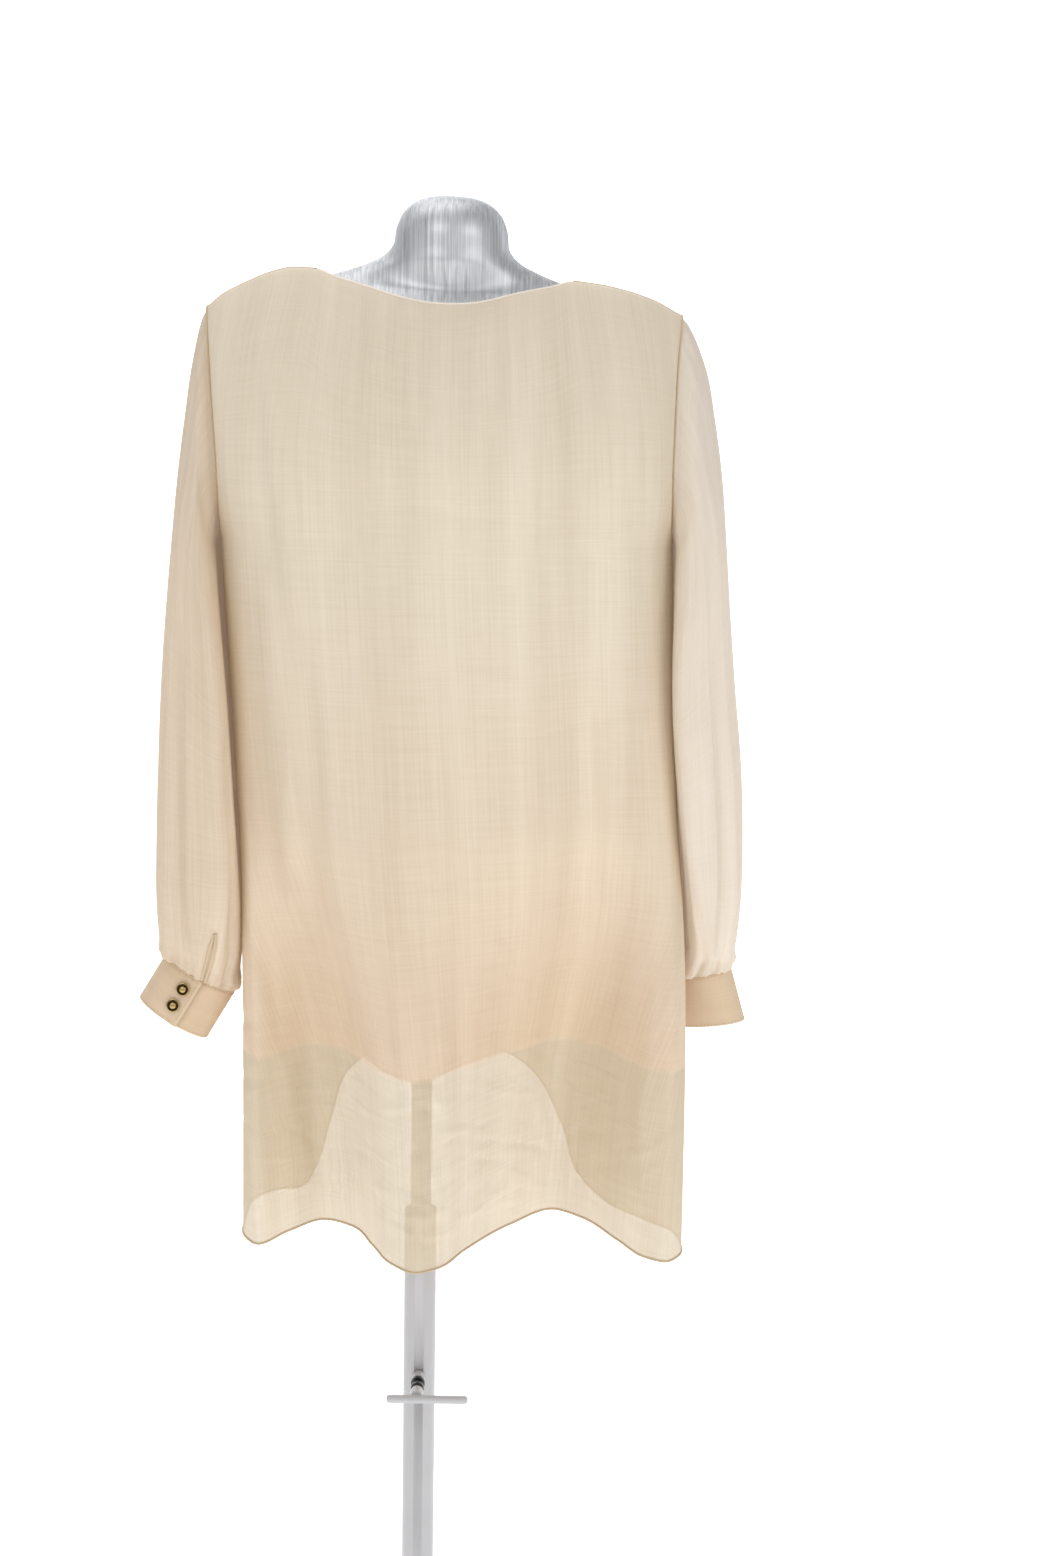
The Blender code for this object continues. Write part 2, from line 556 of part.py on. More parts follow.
def add_placket(name, sleeve, normals, column, finish):
    """Bound slit above the cuff: a narrow strip laid on the sleeve's own points."""
    strip, lift = [], []
    for row in PLACKET_ROWS:
        out = grid_at(normals, row, column)
        out = out / np.linalg.norm(out)
        line = [grid_at(sleeve, row, column + step) for step in (-PLACKET_SPREAD, 0, PLACKET_SPREAD)]
        strip.append(np.array(line) + out * (PLACKET_EASE + PLACKET_WALL))
        lift.append([out] * 3)
    add_wall(name, np.array(strip), np.array(lift), PLACKET_WALL, finish)


def add_form(finish):
    """Smooth limbless torso with a domed neck, leaning slightly on its pole."""
    lean = (
        Matrix.Translation((0, 0, FORM_BASE_HEIGHT))
        @ Matrix.Rotation(-FORM_LEAN, 4, "Y")
        @ Matrix.Translation((0, 0, -FORM_BASE_HEIGHT))
    )
    turn = np.arange(FORM_POINTS) * 2 * math.pi / FORM_POINTS
    points, faces = [], []
    for height, width, back, front, power in FORM:
        depth = np.where(np.sin(turn) > 0, back, front)
        x = width * np.sign(np.cos(turn)) * np.abs(np.cos(turn)) ** (2 / power)
        y = depth * np.sign(np.sin(turn)) * np.abs(np.sin(turn)) ** (2 / power)
        points += [lean @ Vector((a, b, height)) for a, b in zip(x, y)]
    for k in range(len(FORM) - 1):
        for i in range(FORM_POINTS):
            j = (i + 1) % FORM_POINTS
            low, high = k * FORM_POINTS, (k + 1) * FORM_POINTS
            faces.append((low + i, low + j, high + j, high + i))
    faces.append(tuple(range(FORM_POINTS))[::-1])
    faces.append(tuple((len(FORM) - 1) * FORM_POINTS + i for i in range(FORM_POINTS)))
    return add_object("form_torso", points, faces, finish), lean


def add_stand(white, plastic, steel, lean):
    """Flange, telescoping tubes, clamp and round base."""
    flange_top = FORM_BASE_HEIGHT - SEAM_GAP
    bore = UPPER_TUBE_RADIUS + 0.0014
    flange = (
        (bore, flange_top - FLANGE_SLEEVE), (0.0150, flange_top - FLANGE_SLEEVE),
        (0.0150, flange_top - 0.006), (FLANGE_RADIUS, flange_top - 0.004),
        (FLANGE_RADIUS, flange_top), (bore, flange_top),
    )
    turned("form_flange", flange, 20, white, lean, tube=True)
    straight = Matrix.Identity(4)
    inner = UPPER_TUBE_RADIUS - TUBE_WALL
    tube_top = FORM_BASE_HEIGHT - 0.0007
    upper = (
        (inner, UPPER_TUBE_FOOT), (UPPER_TUBE_RADIUS, UPPER_TUBE_FOOT),
        (UPPER_TUBE_RADIUS, tube_top), (inner, tube_top),
    )
    turned("upper_tube", upper, 16, steel, straight, tube=True)
    socket_top = BASE_THICKNESS + SOCKET_HEIGHT
    bore = LOWER_TUBE_RADIUS - TUBE_WALL
    foot = BASE_THICKNESS + SEAM_GAP
    lower = (
        (bore, foot), (LOWER_TUBE_RADIUS, foot),
        (LOWER_TUBE_RADIUS, LOWER_TUBE_TOP), (bore, LOWER_TUBE_TOP),
    )
    tube = turned("lower_tube", lower, 20, white, straight, tube=True)
    drill_for_screw(tube, bore)
    slide = UPPER_TUBE_RADIUS + SEAM_GAP
    top = LOWER_TUBE_TOP + SEAM_GAP
    collar = (
        (slide, top - COLLAR_DEPTH), (bore - SEAM_GAP, top - COLLAR_DEPTH), (bore - SEAM_GAP, top),
        (LOWER_TUBE_RADIUS, top), (LOWER_TUBE_RADIUS, top + 0.004), (slide, top + 0.005),
    )
    turned("tube_collar", collar, 20, plastic, straight, tube=True)
    base = (
        (0.001, 0.0), (BASE_RADIUS, 0.0), (BASE_RADIUS, BASE_THICKNESS - 0.002),
        (BASE_RADIUS - 0.003, BASE_THICKNESS), (0.001, BASE_THICKNESS),
    )
    turned("base_plate", base, 28, white, straight)
    socket = (
        (LOWER_TUBE_RADIUS + SEAM_GAP, foot), (0.0300, foot), (0.0280, foot + 0.006),
        (0.0185, foot + 0.010), (0.0175, socket_top), (LOWER_TUBE_RADIUS + SEAM_GAP, socket_top),
    )
    turned("base_socket", socket, 20, white, straight, tube=True)


def screw_frame():
    """A frame with its Z axis along the clamp screw, which points away from the tube."""
    return Matrix.Translation((0, 0, CLAMP_HEIGHT)) @ Matrix.Rotation(-math.pi / 2, 4, "X")


def drill_for_screw(tube, bore):
    """The hole in the lower tube's wall that lets the clamp screw press on the upper tube."""
    reach, hole = LOWER_TUBE_RADIUS + 0.0020, SCREW_RADIUS + SEAM_GAP
    profile = ((hole, bore - 0.0035), (hole, reach))
    cutter = turned("screw_hole_cutter", profile, 12, tube.data.materials[0], screw_frame())
    cutter.hide_render = True
    cutter.display_type = "WIRE"
    cut = tube.modifiers.new("screw_hole", "BOOLEAN")
    cut.operation = "DIFFERENCE"
    cut.object = cutter


def add_clamp(white, steel):
    """Threaded boss on the lower tube, and the screw with its cross handle."""
    facing = screw_frame()
    start = LOWER_TUBE_RADIUS + SEAM_GAP
    bore = SCREW_RADIUS + SEAM_GAP
    tip = start + BOSS_LENGTH
    boss = ((bore, start), (BOSS_RADIUS, start), (BOSS_RADIUS, tip), (bore, tip))
    turned("clamp_boss", boss, 12, white, facing, tube=True)
    screw = (
        (SCREW_RADIUS, UPPER_TUBE_RADIUS + SEAM_GAP), (SCREW_RADIUS, start + 0.0135),
        (0.0066, start + 0.0140), (0.0066, start + 0.0180), (SCREW_RADIUS, start + 0.0185),
        (SCREW_RADIUS, start + 0.0260), (0.0062, start + 0.0265), (0.0062, start + 0.0300),
        (SCREW_RADIUS, start + 0.0305), (SCREW_RADIUS, start + 0.0340),
    )
    turned("clamp_screw", screw, 12, steel, facing)
    hub_top = HANDLE_REACH - HANDLE_RADIUS - SEAM_GAP
    hub = ((0.0050, start + 0.0343), (0.0058, start + 0.0360), (0.0058, hub_top - 0.0015), (0.0046, hub_top))
    turned("clamp_hub", hub, 12, white, facing)
    across = Matrix.Translation((HANDLE_SHIFT, HANDLE_REACH, CLAMP_HEIGHT))
    across = across @ Matrix.Rotation(math.pi / 2, 4, "Y")
    end = HANDLE_LENGTH / 2
    bar = (
        (0.0014, -end), (0.0030, -end + 0.0008), (HANDLE_RADIUS, -end + 0.0028),
        (HANDLE_RADIUS, end - 0.0028), (0.0030, end - 0.0008), (0.0014, end),
    )
    turned("clamp_handle", bar, 12, white, across)


def main():
    clear_scene()
    chiffon = material("cream_chiffon", (0.74, 0.62, 0.50), 0.75)
    lining = material("peach_lining", (0.76, 0.57, 0.43), 0.70)
    brass = material("antique_brass", (0.18, 0.12, 0.06), 0.35, 1.0)
    silver = material("brushed_silver_paint", (0.42, 0.42, 0.44), 0.35, 0.8)
    white = material("white_powder_coat", (0.80, 0.80, 0.80), 0.45)
    grey = material("grey_nylon", (0.45, 0.45, 0.46), 0.50)
    steel = material("zinc_plated_steel", (0.60, 0.60, 0.60), 0.30, 1.0)
    grids, normals = add_body(chiffon, lining)
    add_binding(grids, normals, chiffon)
    for side, column, table, cuff, closure, slit in (
        ("left", 0, LEFT_SLEEVE, LEFT_CUFF, LEFT_CLOSURE, LEFT_SLIT_COLUMN),
        ("right", COLUMNS, RIGHT_SLEEVE, RIGHT_CUFF, RIGHT_CLOSURE, RIGHT_SLIT_COLUMN),
    ):
        sleeve, sleeve_normals = add_sleeve(f"sleeve_{side}", grids, column, table, cuff, chiffon)
        add_placket(f"placket_{side}", sleeve, sleeve_normals, slit, chiffon)
        band, band_normals = add_cuff(f"cuff_{side}", cuff, closure, chiffon)
        add_buttons(side, band, band_normals, brass)
    _, lean = add_form(silver)
    add_stand(white, grey, steel, lean)
    add_clamp(white, steel)


main()
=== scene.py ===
import math

import bpy
import numpy as np
from mathutils import Matrix, Vector


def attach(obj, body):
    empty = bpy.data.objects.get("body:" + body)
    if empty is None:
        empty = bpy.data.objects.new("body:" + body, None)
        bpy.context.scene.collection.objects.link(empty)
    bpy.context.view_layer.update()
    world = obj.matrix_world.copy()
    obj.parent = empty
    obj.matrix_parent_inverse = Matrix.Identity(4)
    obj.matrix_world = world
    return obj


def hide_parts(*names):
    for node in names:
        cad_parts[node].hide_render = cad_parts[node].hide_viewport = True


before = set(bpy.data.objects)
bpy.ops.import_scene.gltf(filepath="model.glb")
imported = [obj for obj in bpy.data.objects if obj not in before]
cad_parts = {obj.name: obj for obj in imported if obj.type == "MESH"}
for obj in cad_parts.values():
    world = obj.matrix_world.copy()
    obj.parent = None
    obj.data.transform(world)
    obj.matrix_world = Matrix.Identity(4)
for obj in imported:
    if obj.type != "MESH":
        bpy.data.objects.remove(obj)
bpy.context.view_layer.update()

# The back and the front: one panel each of sheer cream polyester chiffon, crisp and finely
# slubbed. They are sewn at the shoulders and sides and hang straight from there, in shallow
# folds that deepen to four big waves at the hem.
UNDERARM_HEIGHT = 1.19
ACROSS_HEIGHT = 1.25
SHOULDER_POINT_HEIGHT = 1.39
HEM_HEIGHT = 0.548
LINING_HEM_HEIGHT = 0.722
SECTION_POWER = 2.6
ARMHOLE_SHARE = 0.44
GAP = 0.0003
NECK_SHARE = 9 / 28
FRONT_NECK_DROP = 0.085
PANEL_COLUMNS = 224
TO_UNDERARM = 1 + np.arcsin(np.linspace(0, 1, 30)[1:]) * 2 / math.pi
PANEL_LEVELS = np.concatenate((np.linspace(0, 1, 70), TO_UNDERARM, np.linspace(2, 3, 260)[1:]))

# Sections: height, left and right edge, stand-off of back and front, share of the hem's waves.
BODY = np.array((
    (0.548, 0.1630, -0.2415, 0.110, 0.150, 1.00),
    (0.630, 0.1636, -0.2417, 0.112, 0.150, 0.96),
    (0.715, 0.1644, -0.2402, 0.114, 0.150, 0.86),
    (0.790, 0.1661, -0.2375, 0.115, 0.149, 0.66),
    (0.860, 0.1674, -0.2335, 0.115, 0.148, 0.40),
    (0.930, 0.1695, -0.2285, 0.114, 0.147, 0.17),
    (1.030, 0.1752, -0.2240, 0.112, 0.146, 0.08),
    (1.120, 0.1810, -0.2216, 0.114, 0.145, 0.03),
    (1.190, 0.1843, -0.2198, 0.116, 0.143, 0.00),
    (1.250, 0.1853, -0.2184, 0.117, 0.134, 0.00),
    (1.330, 0.1925, -0.2205, 0.117, 0.134, 0.00),
    (1.390, 0.1965, -0.2235, 0.117, 0.134, 0.00),
))
LEFT_EDGE, RIGHT_EDGE, BACK_DEPTH, FRONT_DEPTH, WAVES = range(1, 6)

# The back neckline: share across the back, and how far it drops below the shoulder line.
BACK_NECKLINE = np.array((
    (0.3214, 0.0000), (0.3571, 0.0075), (0.3929, 0.0120), (0.4286, 0.0175), (0.4643, 0.0239),
    (0.5000, 0.0278), (0.5357, 0.0242), (0.5714, 0.0168), (0.6071, 0.0111), (0.6429, 0.0070),
    (0.6786, 0.0000),
))

# The shoulder line from right to left: place across, height.
SHOULDER_LINE = np.array((
    (-0.2240, 1.3890), (-0.2115, 1.3965), (-0.2000, 1.4025), (-0.1800, 1.4095),
    (-0.1570, 1.4150), (-0.1250, 1.4192), (0.1000, 1.4265), (0.1250, 1.4272),
    (0.1450, 1.4215), (0.1680, 1.4110), (0.1800, 1.4050), (0.1900, 1.3980), (0.1970, 1.3895),
))

# Crests and hollows of each hem from the left side seam to the right one: x, y, height.
BACK_HEM = np.array((
    (0.1630, 0.018, 0.5560), (0.1605, 0.046, 0.5490), (0.1490, 0.060, 0.5460),
    (0.1205, 0.034, 0.5500), (0.0890, 0.006, 0.5520), (0.0620, 0.019, 0.5500),
    (0.0410, 0.060, 0.5460), (0.0220, 0.100, 0.5430), (-0.0010, 0.120, 0.5420),
    (-0.0190, 0.110, 0.5430), (-0.0430, 0.070, 0.5470), (-0.0850, 0.010, 0.5520),
    (-0.1250, -0.022, 0.5560), (-0.1510, -0.005, 0.5540), (-0.1840, 0.044, 0.5490),
    (-0.2080, 0.078, 0.5450), (-0.2262, 0.088, 0.5450), (-0.2385, 0.072, 0.5455),
    (-0.2415, 0.036, 0.5470),
))
FRONT_HEM = np.array((
    (0.1630, 0.018, 0.5560), (0.1582, -0.012, 0.5640), (0.1385, -0.028, 0.5690),
    (0.1160, -0.034, 0.5700), (0.1040, -0.068, 0.5800), (0.0950, -0.128, 0.6060),
    (0.0790, -0.172, 0.6480), (0.0460, -0.186, 0.6680), (0.0080, -0.164, 0.6760),
    (-0.0300, -0.146, 0.6800), (-0.0720, -0.162, 0.6720), (-0.1090, -0.184, 0.6400),
    (-0.1340, -0.160, 0.5980), (-0.1490, -0.088, 0.5710), (-0.1780, -0.042, 0.5560),
    (-0.2115, -0.012, 0.5500), (-0.2348, 0.010, 0.5475), (-0.2415, 0.036, 0.5470),
))

# Creases as straight runs on the panel, seen square on: x and height of each end, half width,
# rise of a ridge (a trough's is negative).
BACK_CREASES = np.array((
    (0.138, 1.350, 0.127, 1.250, 0.011, 0.0032), (0.127, 1.255, 0.110, 1.130, 0.012, 0.0038),
    (0.150, 1.330, 0.134, 1.180, 0.012, -0.0026), (0.102, 1.080, 0.099, 0.840, 0.014, -0.0042),
    (0.118, 1.000, 0.118, 0.820, 0.012, 0.0032), (0.152, 1.150, 0.150, 0.900, 0.012, -0.0020),
    (-0.163, 1.345, -0.146, 1.250, 0.011, -0.0040), (-0.146, 1.260, -0.144, 1.040, 0.013, -0.0024),
    (-0.144, 1.050, -0.142, 0.860, 0.014, -0.0046), (-0.172, 1.200, -0.170, 0.900, 0.013, 0.0034),
    (-0.205, 1.150, -0.208, 0.880, 0.012, -0.0022), (0.010, 1.150, 0.006, 0.900, 0.022, 0.0024),
    (-0.050, 1.180, -0.056, 0.930, 0.020, -0.0022), (0.055, 1.210, 0.050, 0.980, 0.018, -0.0022),
    (-0.090, 1.280, -0.094, 1.060, 0.016, 0.0020), (0.035, 1.395, 0.037, 1.345, 0.007, 0.0020),
    (0.021, 1.395, 0.022, 1.335, 0.006, -0.0021), (-0.008, 1.395, -0.007, 1.350, 0.006, -0.0019),
    (-0.026, 1.395, -0.024, 1.335, 0.007, -0.0020), (-0.050, 1.398, -0.047, 1.355, 0.006, 0.0016),
    (0.062, 1.400, 0.064, 1.355, 0.007, -0.0017), (-0.076, 1.402, -0.072, 1.360, 0.007, -0.0016),
    (0.080, 1.405, 0.082, 1.370, 0.005, 0.0009), (-0.111, 0.620, -0.073, 0.586, 0.004, 0.0016),
    (-0.075, 0.588, -0.046, 0.577, 0.004, 0.0014), (-0.012, 0.672, -0.060, 0.655, 0.004, 0.0013),
    (-0.050, 0.648, -0.120, 0.615, 0.004, -0.0013), (0.060, 0.640, 0.044, 0.590, 0.005, 0.0012),
    (0.000, 0.720, -0.030, 0.680, 0.005, 0.0010), (-0.020, 0.655, -0.075, 0.662, 0.003, -0.0010),
    (-0.030, 0.632, -0.085, 0.640, 0.003, 0.0010), (0.075, 0.660, 0.052, 0.630, 0.004, -0.0010),
    (-0.060, 0.690, -0.110, 0.676, 0.004, 0.0009), (0.020, 0.610, -0.008, 0.566, 0.004, -0.0012),
    (0.110, 0.650, 0.104, 0.590, 0.006, 0.0014), (-0.150, 0.650, -0.146, 0.590, 0.006, -0.0014),
    (-0.200, 0.700, -0.204, 0.600, 0.007, 0.0016), (0.140, 0.700, 0.142, 0.600, 0.007, -0.0014),
))
FRONT_CREASES = np.array((
    (0.120, 1.330, 0.098, 1.200, 0.012, 0.0032), (0.080, 1.180, 0.074, 0.900, 0.014, -0.0040),
    (-0.140, 1.320, -0.122, 1.200, 0.012, 0.0030), (-0.105, 1.200, -0.098, 0.900, 0.015, -0.0042),
    (0.020, 1.120, 0.024, 0.860, 0.016, 0.0030), (-0.040, 1.160, -0.046, 0.880, 0.018, -0.0026),
    (0.140, 1.060, 0.144, 0.800, 0.012, 0.0032), (-0.180, 1.100, -0.186, 0.780, 0.013, 0.0032),
    (0.052, 1.340, 0.044, 1.290, 0.008, -0.0014), (-0.062, 1.345, -0.052, 1.290, 0.008, 0.0014),
    (0.000, 1.330, 0.002, 1.270, 0.009, -0.0014), (-0.024, 0.760, -0.060, 0.700, 0.006, 0.0014),
    (0.060, 0.740, 0.020, 0.690, 0.006, -0.0014), (-0.090, 0.700, -0.130, 0.650, 0.006, 0.0013),
    (0.110, 0.690, 0.098, 0.620, 0.007, -0.0014), (-0.200, 0.700, -0.206, 0.600, 0.007, -0.0016),
))

# Fine wrinkles from wear: how many, and the ranges of their middle's x and height, length,
# steepness in radians, half width and rise. The same seed gives the same wrinkles each time.
WRINKLES = (
    (110, (-0.215, 0.150), (0.565, 0.725), (0.012, 0.050), (-0.8, 0.8), (0.0024, 0.0044), (0.0003, 0.0009)),
    (30, (-0.215, 0.150), (0.590, 0.760), (0.030, 0.070), (-1.5, 1.5), (0.0036, 0.0070), (0.0004, 0.0011)),
    (34, (-0.205, 0.160), (0.735, 1.000), (0.020, 0.070), (-1.2, 1.2), (0.0040, 0.0070), (0.0002, 0.0005)),
    (30, (-0.200, 0.170), (1.000, 1.380), (0.030, 0.090), (-1.5, 1.5), (0.0050, 0.0090), (0.0003, 0.0007)),
)


def wrinkles(seed):
    """Rows like the creases' for fine wrinkles, each way up at random."""
    draw = np.random.default_rng(seed)
    rows = []
    for count, *ranges in WRINKLES:
        for _ in range(count):
            x, z, length, steep, width, rise = (draw.uniform(*ends) for ends in ranges)
            over, up = math.cos(steep) * length / 2, math.sin(steep) * length / 2
            rows.append((x - over, z - up, x + over, z + up, width, rise * draw.choice((-1, 1))))
    return np.array(rows)


def read_soft(table, column, place, blur):
    """A table's column at a place in its first column, with the corners at its rows rounded."""
    steps = np.linspace(-1, 1, 9) * blur
    weights = 1 - (steps / blur) ** 2 * 0.8
    parts = [w * np.interp(place + s, table[:, 0], table[:, column]) for s, w in zip(steps, weights)]
    return sum(parts) / weights.sum()


def along(rows, share, pace=slice(None)):
    """Smooth curve through rows of numbers, at shares 0 to 1 of its length in the pace columns."""
    rows = np.asarray(rows, float)
    steps = np.linalg.norm(np.diff(rows[:, pace], axis=0), axis=1)
    knots = np.concatenate(([0.0], np.cumsum(steps))) / steps.sum()
    slopes = np.gradient(rows, knots, axis=0)
    share = np.clip(share, 0.0, 1.0)
    left = np.clip(np.searchsorted(knots, share, side="right") - 1, 0, len(knots) - 2)
    width = (knots[left + 1] - knots[left])[..., None]
    t = (share - knots[left])[..., None] / width
    return (
        (2 * t**3 - 3 * t**2 + 1) * rows[left]
        + (t**3 - 2 * t**2 + t) * width * slopes[left]
        + (3 * t**2 - 2 * t**3) * rows[left + 1]
        + (t**3 - t**2) * width * slopes[left + 1]
    )


def unit(vectors):
    """The same vectors, each 1 long."""
    return vectors / np.linalg.norm(vectors, axis=-1, keepdims=True)


def run_length(line):
    """Distance of each point of a line from its start."""
    return np.concatenate(([0.0], np.cumsum(np.linalg.norm(np.diff(line, axis=0), axis=1))))


def around(count):
    """Angles of points that are evenly spaced round a circle."""
    return np.arange(count) * 2 * math.pi / count


def smooth(value):
    """Soft step from 0 to 1."""
    value = np.clip(value, 0.0, 1.0)
    return value * value * (3 - 2 * value)


def body_point(side, share, place):
    """Points of the back (side 1) or front (side -1) before the neckline is cut.

    Share runs from the left edge to the right one. Place is 0 on the shoulder line, 1 across
    the chest, 2 at the underarm and 3 at the hem.
    """
    lift = np.cos(np.clip(place, 0, 1) * math.pi / 2)
    turn = np.clip(place - 1, 0, 1) * math.pi / 2
    below = np.clip(place - 2, 0, 1) * (UNDERARM_HEIGHT - HEM_HEIGHT)
    height = ACROSS_HEIGHT + (SHOULDER_POINT_HEIGHT - ACROSS_HEIGHT) * lift
    height = height - (ACROSS_HEIGHT - UNDERARM_HEIGHT) * np.sin(turn) - below
    edge = np.arcsin((ARMHOLE_SHARE * np.cos(turn)) ** (SECTION_POWER / 2))
    angle = edge + (math.pi - 2 * edge) * share
    across = np.sign(np.cos(angle)) * np.abs(np.cos(angle)) ** (2 / SECTION_POWER)
    across = across / np.cos(edge) ** (2 / SECTION_POWER)
    left, right = (read_soft(BODY, c, height, 0.03) for c in (LEFT_EDGE, RIGHT_EDGE))
    chest = np.minimum(height, ACROSS_HEIGHT)
    depth = read_soft(BODY, BACK_DEPTH if side > 0 else FRONT_DEPTH, chest, 0.03)
    waves = read_soft(BODY, WAVES, height, 0.02)
    rounded = (1 - lift**1.8) ** 0.55 if side > 0 else (1 - lift**1.5) ** 0.60
    x = (left + right) / 2 + (left - right) / 2 * across
    y = depth * np.abs(np.sin(angle)) ** (2 / SECTION_POWER) * rounded
    ridge = read_soft(SHOULDER_LINE, 1, x, 0.008)
    hem = along(BACK_HEM if side > 0 else FRONT_HEM, share)
    fall = (ACROSS_HEIGHT - chest) / (ACROSS_HEIGHT - HEM_HEIGHT)
    z = ACROSS_HEIGHT + (ridge - ACROSS_HEIGHT) * lift - (ACROSS_HEIGHT - hem[..., 2]) * fall
    x = x * (1 - waves) + hem[..., 0] * waves
    y = side * (y * (1 - waves) + GAP / 2) + hem[..., 1] * waves
    return np.stack((x, y, z), axis=-1)


def body_normal(side, share, place):
    """Outward unit normals of the same surface."""
    step = 0.003
    over = body_point(side, np.clip(share + step, 0, 1), place)
    over = over - body_point(side, np.clip(share - step, 0, 1), place)
    down = body_point(side, share, np.clip(place + step, 0, 3))
    down = down - body_point(side, share, np.clip(place - step, 0, 3))
    normal = side * np.cross(down, over)
    return normal / np.maximum(np.linalg.norm(normal, axis=-1, keepdims=True), 1e-12)


def panel_places(side, share, levels):
    """Places of a panel's points: its first row starts on the shoulder seam or at the neck."""
    x = body_point(side, share, np.zeros_like(share))[:, 0]
    off = np.clip(np.abs(share - 0.5) / (0.5 - NECK_SHARE), 0.0, 1.0)
    drop = read_soft(BACK_NECKLINE, 1, share, 0.02) if side > 0 else FRONT_NECK_DROP * (1 - off**2.2)
    ridge = read_soft(SHOULDER_LINE, 1, x, 0.008) - ACROSS_HEIGHT
    start = np.arccos(np.clip(1 - drop / ridge, 0.0, 1.0)) * 2 / math.pi
    levels = levels[:, None]
    return np.where(levels < 1, start + (1 - start) * levels, levels + 0 * start)


def crease_rise(points, creases):
    """How far the creases lift each point, from its x and height."""
    rise = np.zeros(points.shape[:-1])
    for x0, z0, x1, z1, width, height in creases:
        run = np.array((x1 - x0, z1 - z0))
        length = np.linalg.norm(run)
        run = run / length
        off = points[..., [0, 2]] - (x0, z0)
        t = off @ run / length
        d = off[..., 0] * run[1] - off[..., 1] * run[0]
        taper = smooth((t + 0.25) / 0.5) * smooth((1.25 - t) / 0.5)
        rise += height * np.exp(-((d / width) ** 2)) * taper
    return rise


def edge_roll(place, distance):
    """How far the seam allowance pulls the cloth in beside the armhole seam."""
    beside_armhole = smooth((place - 0.1) / 0.5) * smooth((2.02 - place) / 0.5)
    return 0.0026 * np.exp(-((distance / 0.006) ** 2)) * beside_armhole


def body_panel(side, levels, columns, creases, inset=None, fine=None):
    """Points and outward normals of a panel, or of the lining that hangs inside it."""
    share = np.linspace(0.0, 1.0, columns + 1)
    place = panel_places(side, share, levels)
    share = share + 0 * place
    points, normals = body_point(side, share, place), body_normal(side, share, place)
    if inset is not None:
        points = points - normals * np.interp(points[..., 2], inset[:, 0], inset[:, 1])[..., None]
    inward = np.minimum(share, 1 - share)
    edges = smooth(inward / 0.03) * smooth(levels[:, None] / 0.06)
    rise = crease_rise(points, creases) * edges - edge_roll(place, inward * 0.42)
    if fine is not None:
        rise = rise + crease_rise(points, fine) * edges * smooth((3 - place) / 0.02)
    return points + normals * rise[..., None], normals


def grid_faces(rows, columns, closed=False):
    """Quads of a grid of points."""
    faces = []
    for row in range(rows - 1):
        start, below = row * columns, (row + 1) * columns
        for c in range(columns if closed else columns - 1):
            beside = (c + 1) % columns
            faces.append((start + c, start + beside, below + beside, below + c))
    return faces


def cloth_lengths(grid):
    """Distances along the rows and down the columns of a grid, in metres, from its middle."""
    over = np.pad(np.linalg.norm(np.diff(grid, axis=1), axis=2), ((0, 0), (1, 0)))
    down = np.pad(np.linalg.norm(np.diff(grid, axis=0), axis=2), ((1, 0), (0, 0)))
    return np.cumsum(over, axis=1).mean(axis=0), np.cumsum(down, axis=0).mean(axis=1)


def add_mesh(name, points, faces, finish, body, coordinates=None):
    """One smooth piece that rides on a body, with a UV map in metres where it has a grain."""
    mesh = bpy.data.meshes.new(name)
    mesh.from_pydata([tuple(p) for p in np.asarray(points).reshape(-1, 3)], [], faces)
    mesh.shade_smooth()
    if coordinates is not None:
        layer = mesh.uv_layers.new(name="cloth")
        loops = np.empty(len(mesh.loops), np.int64)
        mesh.loops.foreach_get("vertex_index", loops)
        layer.data.foreach_set("uv", np.asarray(coordinates, float).reshape(-1, 2)[loops].ravel())
    mesh.materials.append(finish)
    piece = bpy.data.objects.new(name, mesh)
    bpy.context.scene.collection.objects.link(piece)
    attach(piece, body)
    return piece


def add_cloth(name, grid, finish, closed=False):
    """A sheet of cloth on a grid of points. Its UV map runs across and down the cloth.

    On an open sheet the warp runs straight down beside the middle column.
    """
    rows, columns = grid.shape[:2]
    over, down = cloth_lengths(grid)
    u, v = np.meshgrid(over, -down)
    if not closed:
        steps = np.linalg.norm(np.diff(grid, axis=1), axis=2)
        u = np.concatenate((np.zeros((rows, 1)), np.cumsum(steps, axis=1)), axis=1)
        u = u - u[:, columns // 2:columns // 2 + 1]
    faces = grid_faces(rows, columns, closed)
    return add_mesh(name, grid, faces, finish, "form", np.stack((u, v), axis=-1))


def linear(code):
    """An sRGB hex colour as linear RGBA."""
    parts = [int(code[i:i + 2], 16) / 255 for i in (1, 3, 5)]
    return tuple(c / 12.92 if c <= 0.04045 else ((c + 0.055) / 1.055) ** 2.4 for c in parts) + (1.0,)


def add_node(tree, kind, inputs=None, **settings):
    """Adds a shader node. Each input is a value, or the socket or node that it is linked to.

    On a Mix node input 0 is the factor, 2 and 3 are its numbers, 6 and 7 its colours.
    """
    node = tree.nodes.new("ShaderNode" + kind)
    for key, value in settings.items():
        setattr(node, key, value)
    for key, value in (inputs or {}).items():
        if isinstance(value, bpy.types.Node):
            value = next(socket for socket in value.outputs if socket.enabled)
        if isinstance(value, bpy.types.NodeSocket):
            tree.links.new(value, node.inputs[key])
        else:
            node.inputs[key].default_value = value
    return node


def new_material(name):
    """An empty node material and its tree."""
    made = bpy.data.materials.new(name)
    made.use_nodes = True
    made.node_tree.nodes.clear()
    return made, made.node_tree


